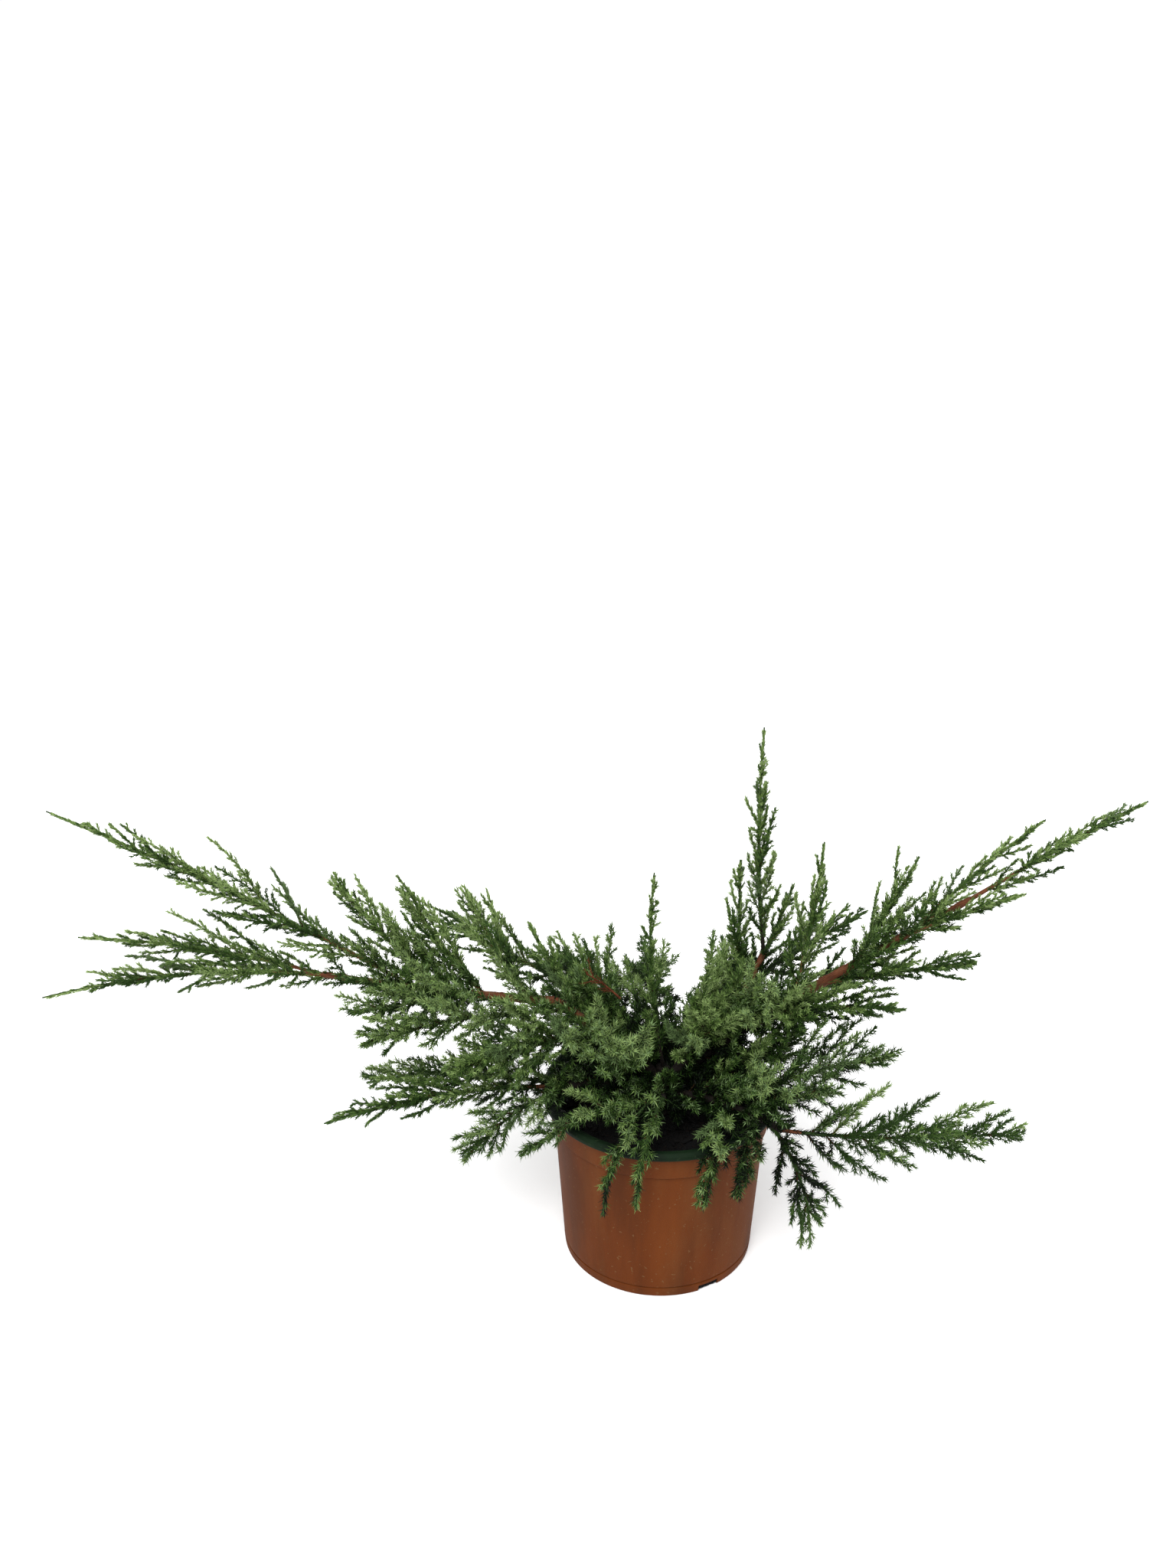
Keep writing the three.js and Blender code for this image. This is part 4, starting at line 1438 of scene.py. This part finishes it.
@dataclass(frozen=True)
class NeedleRule:
    """The sizes of needles, each as (pressed, spreading), and how chance varies them.

    Towards a shoot's tip needles lie closer by `closing` and are shorter by `shortening`. They are rooted at
    the `sunk` share of its radius. On the first `covered` share of a side shoot, under its twigs, they are
    painted a tone darker as shade. Farther than `airy[0]` from the axis or higher than `airy[1]` they are
    never painted darker than deep green. The flat faces of a `bloom` share of those opened by more than
    `bloom_from` are whitish.
    """

    length: Pair = (4.7, 7.8)
    width: Pair = (1.75, 1.4)
    angle: Pair = (24.0, 50.0)
    density: Pair = (1.3, 1.1)
    lengths: Pair = (0.8, 1.15)
    widths: Pair = (0.85, 1.15)
    roll_scatter: float = 0.22
    angle_scatter: float = 4.0
    jitter: Pair = (-0.35, 0.35)
    whorl: int = 3
    closing: float = 0.3
    shortening: float = 0.16
    sunk: float = 0.7
    covered: float = 0.7
    flecks: Pair = (0.18, 0.88)
    airy: Pair = (215.0, 365.0)
    bloom_from: float = 0.55
    bloom: float = 0.35
    clearance: float = 0.3
    inside: float = 0.1


@dataclass(frozen=True)
class ToneRule:
    """What paints light and shade on a spray, paler or darker: each cause has a weight, and a span over which
    it grows to 1.
    """

    start: float = 0.37
    height: float = 0.24
    height_span: Pair = (190.0, 430.0)
    rise: float = 0.24
    least_rise: float = -0.2
    front: Pair = (0.15, 0.45)
    front_span: Pair = (0.0, 120.0)
    front_width: float = 110.0
    low_span: Pair = (290.0, 190.0)
    hanging: float = 0.3
    hanging_span: Pair = (175.0, 115.0)
    depth: float = 0.76
    core: Point = (115.0, 205.0, 76.0)
    right: float = 0.34
    right_span: Pair = (30.0, 140.0)
    right_fade: float = 0.85
    scatter: float = 0.16
    steps: tuple[float, ...] = (0.12, 0.27, 0.42, 0.6, 0.8)
    grey: float = 0.05


@dataclass
class Foliage:
    """Every plume of the crown: side shoots, twigs and needles, grown from the limbs by one rule."""

    limbs: Limbs
    low: Array
    high: Array
    shoots: ShootRule = ShootRule()
    twigs: TwigRule = TwigRule()
    knobs: TwigRule = TwigRule(carrier=10.5, first=0.3, last=0.9, angle=(44.0, 32.0), least=3.5,
                               roll_scatter=0.8, curl=(0.02, 0.15), girth=0.6, closeness=1.1, shaded=0.0,
                               paler=0.5)
    needles: NeedleRule = NeedleRule()
    tones: ToneRule = ToneRule()
    stem_girth: float = 2.4
    stem_end: float = 0.36
    stem_ripple: Pair = (0.86, 1.14)
    stem_leafy: float = 0.985
    stem_bare: float = 0.4
    stem_closeness: float = 1.5
    thinning: float = 0.55
    tested: Point = (0.35, 0.7, 1.0)
    shaded_stem: float = 130.0
    clearance: float = 1.5
    inside: float = 1.0
    seed: int = 23

    def __post_init__(self) -> None:
        """Opens the one stream of chance that the crown is drawn from."""
        self.rng = np.random.default_rng(self.seed)

    def stems(self) -> tuple[Shoots, Array]:
        """The stems of the masses, then the boughs that carry sprays of their own.

        Returns:
            The stems as shoots, and the length of the longest side shoots on each.
        """
        rows = []
        for mass in MASSES:
            rows.append(self.shoot(self.limbs.line(mass), self.stem_girth, mass.habit, mass.region, 0))
        for bough in self.limbs.boughs:
            rows.append(self.shoot(self.limbs.lines[bough.name], bough.root, Habit.BOUGH, bough.region, -1))
        sprays = [float(branch.spray) for branch in (*MASSES, *self.limbs.boughs)]
        return Shoots.joined(rows), np.array(sprays)

    def shoot(self, line: Lines, girth: float, habit: Habit, region: Region, rank: int) -> Shoots:
        """Dresses a line as a batch of one shoot.

        Args:
            line: what it follows.
            girth: its radius.
            habit: how it grows.
            region: the part of the crown that it belongs to.
            rank: 0 for a mass's stem, -1 for a bough.

        Returns:
            The shoot.
        """
        tips = line.point(np.array([0]), np.array([1.0]))
        return Shoots(line.root, line.along, line.above, line.length, line.curl, np.array([girth]),
                      np.array([np.mean(habit.value.opening)]), self.dealt(tips, line.along),
                      np.array([region.number]), np.array([habit.number]), np.array([rank]))

    def side_shoots(self, stems: Shoots, sprays: Array) -> Shoots:
        """Side shoots, spiralling up every stem.

        Number n stands at an even place along the stem and at n x turn round it. Its length is spray x sin(pi
        (swell[0] + swell[1] x place))^taper, by chance longer or shorter, and it curls back towards the way
        ahead. Those on a bough itself are painted a tone darker as shade of the crown's inside, or two low
        down near the axis.

        Args:
            stems: the stems of the masses and the boughs.
            sprays: length of the longest side shoots on each.

        Returns:
            The side shoots.
        """
        rule, draw, normal = self.shoots, self.rng.uniform, self.rng.normal
        span = rule.last - rule.first
        count = np.maximum(4, np.round(span * stems.length / Habit.sizes(stems.habit, "spacing"))).astype(int)
        owner, number = spread(count)
        total, kind = len(owner), stems.habit[owner]
        place = rule.first + span * (number + draw(*rule.jitter, total)) / count[owner]
        roll = np.radians(rule.turn) * (number + owner) + normal(0, rule.roll_scatter, total)
        angle = np.radians(Habit.graded(kind, "angle", place) + normal(0, rule.angle_scatter, total))
        fullness = np.sin(math.pi * (rule.swell[0] + rule.swell[1] * place)) ** Habit.sizes(kind, "taper")
        short = draw(0, 1, total) < rule.short_share
        share = np.where(short, draw(*rule.short, total), draw(*rule.long, total))
        longest = sprays[owner] * Habit.sizes(kind, "reach")
        length = np.maximum(longest * fullness * share * (1 + rule.upper * np.sin(roll)), rule.least)
        ahead, up, aside = stems.frame(owner, place)
        rise = np.sin(roll) * rule.flatten + Habit.sizes(kind, "upturn")
        around = np.cos(roll)[:, None] * -aside + rise[:, None] * up
        along = swing(ahead, unit(around), angle)
        lifted = ahead + Habit.sizes(kind, "lift")[:, None] * UP
        above = square_to(lifted + normal(0, rule.scatter, (total, 3)), along)
        opening = np.clip(Habit.graded(kind, "opening", place) + normal(0, rule.scatter, total), 0, 1)
        root = stems.point(owner, place)
        borne = stems.rank[owner] < 0
        near = (from_axis(root) < rule.near[0]) & (root[:, 2] < rule.near[1])
        tone = self.dealt(root + along * length[:, None], along)
        tone = np.where(borne & (tone == Tone.GREY.number), Tone.MID.number, tone)
        # Painted shade: sprays on a bough are darker, two tones low down near the axis.
        tone = Tone.stepped(tone, borne.astype(int) + (borne & near))
        shoots = Shoots(
            root, along, above, length, draw(*rule.curl, total), np.full(total, rule.girth),
            opening, tone, stems.region[owner], kind, np.ones(total, int),
        )
        return shoots.picked(~self.bared(owner, place))

    def bared(self, owner: Whole, place: Array) -> NDArray[np.bool_]:
        """Tells what would stand on a bare stretch of a bough.

        Args:
            owner: the stems, numbered as `stems` gives them.
            place: the places on them.

        Returns:
            True for each place on a bare stretch.
        """
        found = np.zeros(len(owner), bool)
        for number, bough in enumerate(self.limbs.boughs, start=len(MASSES)):
            for start, end in bough.bare:
                found |= (owner == number) & (place > start) & (place < end)
        return found

    def dealt(self, tips: Array, along: Array) -> Whole:
        """Deals a tone to every spray, painted light and shade: paler where it is high, in front or points
        up, darker inside.

        Depth inside = exp(-(distance from the axis / core radius)^2 - (height over the core's / its half)^2).
        The right side is a little darker than the left, the more so the lower it is, the front is palest
        above the pot, and what hangs down free of the crown is paler again. The score is the weighted sum of
        these and of chance, and the tone is a step paler at each of the rule's steps.

        Args:
            tips: where the sprays end.
            along: where they point.

        Returns:
            The tones' numbers.
        """
        rule, up = self.tones, tips[:, 2]
        radius, middle, half = rule.core
        depth = np.exp(-((from_axis(tips) / radius) ** 2) - ((up - middle) / half) ** 2)
        height, low = ranged(up, *rule.height_span), ranged(up, *rule.low_span)
        right = ranged(tips[:, 0], *rule.right_span) * (1 - rule.right_fade * height)
        rise = np.maximum(along[:, 2], rule.least_rise)
        over_pot = rule.front[1] * (1 - low) * np.exp(-((tips[:, 0] / rule.front_width) ** 2))
        front = ranged(-tips[:, 1], *rule.front_span) * (rule.front[0] + over_pot)
        hanging = ranged(up, *rule.hanging_span)
        # Painted light and shade: the score is high where light falls and low in the crown's shade.
        score = rule.start + rule.height * height + front + rule.rise * rise + rule.hanging * hanging
        score = score - rule.depth * depth - rule.right * right + self.rng.normal(0, rule.scatter, len(tips))
        tone = Tone.DIM.number - np.searchsorted(rule.steps, score)
        return np.where(self.rng.uniform(0, 1, len(tips)) < rule.grey, Tone.GREY.number, tone)

    def twigs_on(self, shoots: Shoots, rule: TwigRule, rank: int) -> Shoots:
        """Twigs to each side of every shoot that is long enough, in its own flat spray.

        Length = share x shoot length x (1 - place)^fall + least, by chance longer or shorter.

        Args:
            shoots: what may carry them.
            rule: how they stand.
            rank: their own rank.

        Returns:
            The twigs.
        """
        draw, normal = self.rng.uniform, self.rng.normal
        carriers = shoots.picked(shoots.length > rule.carrier)
        spacing = Habit.sizes(carriers.habit, "twig_spacing") * rule.closeness
        span = rule.last - rule.first
        count = np.round(span * carriers.length / spacing).astype(int)
        owner, number = spread(count)
        total, kind = len(owner), carriers.habit[owner]
        place = rule.first + span * (number + draw(*rule.jitter, total)) / count[owner]
        roll = math.pi * (number % 2) + normal(rule.roll, rule.roll_scatter, total)
        angle = np.radians(lerp(*rule.angle, place) + normal(0, rule.angle_scatter, total))
        longest = Habit.sizes(kind, "twig_share") * carriers.length[owner]
        length = longest * (1 - place) ** rule.fall + rule.least
        length = np.minimum(length, Habit.sizes(kind, "twig_most")) * draw(*rule.lengths, total)
        ahead, up, aside = carriers.frame(owner, place)
        along = swing(ahead, swing(aside, up, roll), angle)
        above = square_to(ahead + rule.lift * UP + normal(0, rule.scatter, (total, 3)), along)
        # Painted shade: twigs near the stem and twigs that droop under their shoot are made darker.
        under = along[:, 2] < np.minimum(ahead[:, 2], 0) - rule.droop
        darker = (place < rule.shaded) + (place < rule.shaded / 2) + under.astype(int)
        tone = Tone.stepped(carriers.tone[owner], darker - (draw(0, 1, total) < rule.paler))
        return Shoots(
            carriers.point(owner, place), along, above, length, draw(*rule.curl, total),
            np.full(total, rule.girth), carriers.spreading[owner], tone, carriers.region[owner], kind,
            np.full(total, rank),
        )

    def clear(self, points: Array, margin: float) -> NDArray[np.bool_]:
        """Whether points keep out of the pot and the mix by a margin."""
        return self.limbs.bed.pot.clear(points, self.limbs.bed, margin)

    def boxed(self, points: Array, margin: float) -> NDArray[np.bool_]:
        """Whether points lie in the box of the frame, inside it by a margin."""
        return np.all((points > self.low + margin) & (points < self.high - margin), -1)

    def kept(self, shoots: Shoots) -> Shoots:
        """Leaves out shoots that would leave the frame's box or enter the pot or the mix.

        Args:
            shoots: the shoots, each tested at the `tested` places.

        Returns:
            Those that stay.
        """
        rows = np.arange(len(shoots.length))
        good = np.ones(len(rows), bool)
        for place in self.tested:
            points = shoots.point(rows, np.full(len(rows), place))
            good &= self.clear(points, self.clearance) & self.boxed(points, self.inside)
        return shoots.picked(good)

    def grown(self) -> tuple[Shoots, Shoots]:
        """Grows the crown.

        Returns:
            The stems of the masses, and every side shoot, twig and knob on them and on the boughs.
        """
        stems, sprays = self.stems()
        sides = self.kept(self.side_shoots(stems, sprays))
        twigs = self.kept(self.twigs_on(sides, self.twigs, 2))
        knobs = self.kept(self.twigs_on(twigs, self.knobs, 3))
        log.info("shoots: %d side, %d twigs, %d knobs", *(len(part.length) for part in (sides, twigs, knobs)))
        return stems.picked(stems.rank == 0), Shoots.joined([sides, twigs, knobs])

    def needles_on(self, shoots: Shoots, first: Array | float = 0.0,
                   closeness: float = 1.0) -> tuple[Skin, Whole]:
        """Needles in whorls of three along every shoot, each whorl turned by a sixth on the last.

        Angle to the shoot = the rule's x (1 - closing x place^4); length = the rule's x (1 - shortening x
        place^3), by chance longer or shorter.

        Args:
            shoots: what carries them.
            first: the place on each shoot where they start.
            closeness: share of the rule's density.

        Returns:
            The needles as one skin, and the region of each.
        """
        rule, draw, normal = self.needles, self.rng.uniform, self.rng.normal
        first = np.broadcast_to(first, shoots.length.shape)
        density = lerp(*rule.density, shoots.spreading) * closeness
        whorls = np.maximum(2, np.round((1 - first) * shoots.length * density / rule.whorl)).astype(int)
        owner, number = spread(whorls * rule.whorl)
        total, tier, opened = len(owner), number // rule.whorl, shoots.spreading[owner]
        place = lerp(first[owner], 1.0, (tier + 0.5 + draw(*rule.jitter, total)) / whorls[owner])
        roll = TURN * (number % rule.whorl) / rule.whorl + tier * math.pi / 3
        roll = roll + draw(0, TURN, len(whorls))[owner] + normal(0, rule.roll_scatter, total)
        angle = lerp(*rule.angle, opened) * (1 - rule.closing * place**4)
        angle = np.radians(angle + normal(0, rule.angle_scatter, total))
        length = lerp(*rule.length, opened) * (1 - rule.shortening * place**3) * draw(*rule.lengths, total)
        width = lerp(*rule.width, opened) * draw(*rule.widths, total)
        ahead, up, aside = shoots.frame(owner, place)
        radial = swing(aside, up, roll)
        lean, out = swing(ahead, radial, angle), swing(radial, -ahead, angle)
        sunk = self.radius_at(shoots.girth[owner], place) * rule.sunk
        base = shoots.point(owner, place) + radial * sunk[:, None]
        tips = base + lean * length[:, None]
        good = self.clear(tips, rule.clearance) & self.clear(base, rule.clearance)
        good &= self.boxed(tips, rule.inside)
        # Painted shade: needles on the covered foot of stems and side shoots are a tone darker.
        shade_under_twigs = ((shoots.rank[owner] < 2) & (place < rule.covered)).astype(int)
        tone = self.flecked(Tone.stepped(shoots.tone[owner], shade_under_twigs))
        airy = (from_axis(base) > rule.airy[0]) | (base[:, 2] > rule.airy[1])
        tone = np.where(airy & (tone <= Tone.DIM.number), np.minimum(tone, Tone.DEEP.number), tone)
        bloom = (opened > rule.bloom_from) & (draw(0, 1, total) < rule.bloom)
        inner = np.where(bloom & (shoots.tone[owner] < Tone.SHADE.number), Tone.BLOOM.number, tone)
        skin = spikes(base[good], lean[good], out[good], length[good], width[good], tone[good], inner[good])
        return skin, shoots.region[owner][good]

    def flecked(self, tone: Whole) -> Whole:
        """Lets three needles in ten be a tone darker or paler than their spray.

        Args:
            tone: the tone of each needle's spray.

        Returns:
            The tone of each needle.
        """
        darker, paler = self.needles.flecks
        draw = self.rng.uniform(0, 1, len(tone))
        return Tone.stepped(tone, (draw < darker).astype(int) - (draw > paler))

    def radius_at(self, girth: Array, place: Array) -> Array:
        """Radius of a twig: girth x (1 - thinning x place)."""
        return girth * (1 - self.thinning * place)

    def stem_skin(self, stems: Shoots) -> Skin:
        """The woody stems of the plumes: bark for their barked share, then green.

        Args:
            stems: the stems of the masses.

        Returns:
            The skin, with the darker bark of painted shade on stems that start near the axis.
        """
        steps, sides = 26, 9
        place = np.linspace(0, 1, steps)
        radius = lerp(1.0, self.stem_end, place**0.8) * stems.girth[:, None]
        ripple = self.rng.uniform(*self.stem_ripple, (len(stems.length), steps, sides))
        # Painted shade: stems that start near the axis take the darker bark.
        inner = from_axis(stems.root)[:, None] < self.shaded_stem
        finish = np.where(place[None, 1:] > Habit.sizes(stems.habit, "barked")[:, None], 1, 2 * inner)
        run = place[None, :, None] * stems.length[:, None, None] * MM
        around = np.arange(sides + 1)[None, None] / sides * TURN * self.stem_girth * MM
        chart = np.stack(np.broadcast_arrays(around, run), -1)
        return Skin.of_tubes(stems.rings(radius[..., None] * ripple, sides), finish=finish, chart=chart)

    def twig_skin(self, shoots: Shoots) -> Skin:
        """The wood of the leafy shoots: tapering tubes, and single spikes for knobs.

        Args:
            shoots: side shoots, twigs and knobs.

        Returns:
            The skin, with young bark at the foot of side shoots and green elsewhere.
        """
        skins = []
        for rank, steps, sides, brown in ((1, 6, 4, 0.18), (2, 3, 3, 0.0)):
            batch = shoots.picked(shoots.rank == rank)
            place = np.linspace(0, 1, steps)
            radius = self.radius_at(batch.girth[:, None], place[None])
            finish = np.repeat((place[None, :-1] >= brown).astype(int), len(batch.length), 0)
            skins.append(Skin.of_tubes(batch.rings(radius, sides), finish=finish))
        knobs = shoots.picked(shoots.rank == 3)
        skins.append(spikes(knobs.root, knobs.along, knobs.above, knobs.length, 2 * knobs.girth, 1, 1))
        return Skin.joined(skins)

    def build(self) -> None:
        """Makes, dresses and enters the wood and the needles of every region."""
        stems, shoots = self.grown()
        wood = [BARK.material(), GREEN_TWIG.material(), SHADED_BARK.material()]
        enter(self.stem_skin(stems).piece("plume_stems", wood), "bark")
        leafy = replace(stems, length=stems.length * self.stem_leafy)
        bare = self.stem_bare * Habit.sizes(stems.habit, "barked")
        parts = [self.needles_on(shoots), self.needles_on(leafy, bare, self.stem_closeness)]
        skin = Skin.joined([part[0] for part in parts])
        region = np.concatenate([part[1] for part in parts])
        log.info("needles: %d", len(region))
        tones = [tone.value.material() for tone in Tone]
        twig_finishes = [YOUNG_BARK.material(), GREEN_TWIG.material()]
        for part in Region:
            nodes = [f"foliage_{mass.name}" for mass in MASSES if mass.region is part]
            needles = self.chosen(skin, np.flatnonzero(region == part.number))
            enter(needles.piece(f"needles_{part.value}", tones, smooth=False), "foliage", *nodes)
            batch = shoots.picked(shoots.region == part.number)
            enter(self.twig_skin(batch).piece(f"twigs_{part.value}", twig_finishes), "bark")

    @staticmethod
    def chosen(skin: Skin, which: Whole) -> Skin:
        """Picks needles out of a skin.

        Args:
            skin: needles of four corners and four faces each.
            which: the numbers of the needles.

        Returns:
            The skin of those alone.
        """
        corners = skin.points.reshape(-1, 4, 3)[which].reshape(-1, 3)
        faces = skin.triangles[:4] + 4 * np.arange(len(which))[:, None, None]
        return Skin(corners, faces.reshape(-1, 3), skin.finish.reshape(-1, 4)[which].reshape(-1))


@dataclass
class DeadTwig:
    """A small dead spray, red-brown and half bare, at the top of the mound."""

    root: Point = (-46.0, 10.0, 318.0)
    tip: Point = (-84.0, 16.0, 346.0)
    arch: float = 20.0
    side_twigs: int = 7
    side_length: Pair = (10.0, 22.0)
    side_curl: Pair = (-0.6, 0.6)
    needles: int = 110
    needle_length: Pair = (3.0, 6.5)
    seed: int = 41

    def build(self) -> None:
        """Makes, dresses and enters the twig and its dead needles."""
        rng, count = np.random.default_rng(self.seed), self.side_twigs
        main_twig = Lines.swept(np.array(self.root), np.array(self.tip), self.arch)
        owner, place = np.zeros(count, int), np.linspace(0.25, 0.92, count)
        ahead, up, aside = main_twig.frame(owner, place)
        along = unit(0.75 * ahead + 0.6 * swing(aside, up, rng.uniform(0, TURN, count)))
        above = square_to(ahead + rng.normal(0, 0.2, ahead.shape), along)
        sides = Lines(main_twig.point(owner, place), along, above, rng.uniform(*self.side_length, count),
                      rng.uniform(*self.side_curl, count))
        lines = Lines.joined([main_twig, sides])
        taper = np.linspace(1, 0.4, 8)[None] * np.array([1.3] + [0.75] * count)[:, None]
        carrier = rng.integers(0, len(lines.length), self.needles)
        where = rng.uniform(0.1, 1, self.needles)
        ahead, up, aside = lines.frame(carrier, where)
        radial = swing(aside, up, rng.uniform(0, TURN, self.needles))
        lean = unit(ahead + radial * rng.uniform(0.6, 1.6, (self.needles, 1)))
        out = square_to(radial, lean)
        length = rng.uniform(*self.needle_length, self.needles)
        leaves = spikes(lines.point(carrier, where), lean, out, length, 1.0)
        twig = Skin.joined([Skin.of_tubes(lines.rings(taper, 6)), leaves])
        enter(twig.piece("dead_twig", [DEAD.material()], smooth=False), "bark")


# ---------------------------------------------------------------- studio


@dataclass
class Studio:
    """A wide pale floor, a white sky, soft lamps and the camera."""

    floor_radii: tuple[float, ...] = (1.0, 800.0, 4000.0, 16000.0)
    floor_sides: int = 96
    camera_place: Point = (-82.0, -1614.0, 1296.0)
    camera_pitch: float = 66.2
    lens: float = 38.67
    sensor: float = 36.0
    sky: float = 1.02

    def floor(self) -> None:
        """The floor: a flat disc of rings round a centre."""
        sides, out = self.floor_sides, np.array(self.floor_radii)[:, None]
        angles = round_angles(sides)
        rings = np.stack([out * np.cos(angles), out * np.sin(angles), 0 * out * angles], -1)
        grid = np.arange(len(out) * sides).reshape(-1, sides)
        here, ahead = grid[:-1], grid[1:]
        quads = np.stack([here, ahead, np.roll(ahead, -1, 1), np.roll(here, -1, 1)], -1)
        hub = np.stack([np.full(sides, grid.size), grid[0], np.roll(grid[0], -1)], -1)
        triangles = np.concatenate([quads[..., HALVES].reshape(-1, 3), hub])
        points = np.concatenate([rings.reshape(-1, 3), [[0.0, 0.0, 0.0]]])
        skin = Skin(points, triangles, np.zeros(len(triangles), int))
        skin.piece("studio_floor", [Paper().material()])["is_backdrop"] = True

    def sun(self, name: str, towards: Point, strength: float, softness: float) -> None:
        """A far lamp with a wide disc, so that its shadows are soft.

        Args:
            name: of the lamp.
            towards: the way from the plant to the lamp.
            strength: of its light.
            softness: width of its disc in degrees.
        """
        data = bpy.data.lights.new(name, "SUN")
        data.energy = strength
        data.angle = math.radians(softness)
        lamp = linked(name, data)
        lamp.location = towards
        level = math.hypot(towards[0], towards[1])
        lamp.rotation_euler = (math.atan2(level, towards[2]), 0, math.atan2(towards[0], -towards[1]))

    def camera(self) -> None:
        """The camera, looking down on the pot from the front."""
        data = bpy.data.cameras.new("camera")
        data.lens = self.lens
        data.sensor_width = self.sensor
        camera = linked("camera", data)
        camera.location = [value * MM for value in self.camera_place]
        camera.rotation_euler = (math.radians(self.camera_pitch), 0, 0)
        bpy.context.scene.camera = camera

    def build(self) -> None:
        """Sets the sky, the floor, the lamps and the camera."""
        world = bpy.data.worlds.new("studio_sky")
        world.use_nodes = True
        sky = world.node_tree.nodes["Background"]
        sky.inputs["Color"].default_value = (1.0, 1.0, 1.0, 1.0)
        sky.inputs["Strength"].default_value = self.sky
        bpy.context.scene.world = world
        bpy.context.scene.view_settings.view_transform = "Standard"
        self.floor()
        self.sun("key", (-0.35, -1.1, 1.4), 3.2, 32.0)
        self.sun("fill", (0.8, -0.3, 1.1), 0.5, 60.0)
        self.camera()


# ---------------------------------------------------------------- assembly


def corners(box: tuple) -> list[list[float]]:
    """Two opposite corners of a box as plain lists."""
    return [[float(value) for value in corner] for corner in box]


def main() -> None:
    """Builds the pot, the wood, the foliage and the studio round the frame."""
    logging.basicConfig(level=logging.INFO, format="%(name)s: %(message)s", stream=sys.stdout)
    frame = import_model()
    solid_box = corners(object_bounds())
    log.info("frame of %d nodes", len(frame["nodes"]))
    low, high = (np.array(corner) / MM for corner in solid_box)
    Studio().build()
    pot = NurseryPot()
    pot.build()
    bed = MixBed(pot)
    bed.build()
    limbs = Limbs(bed)
    limbs.build()
    Foliage(limbs, low, high).build()
    DeadTwig().build()


if __name__ == "__main__":
    main()
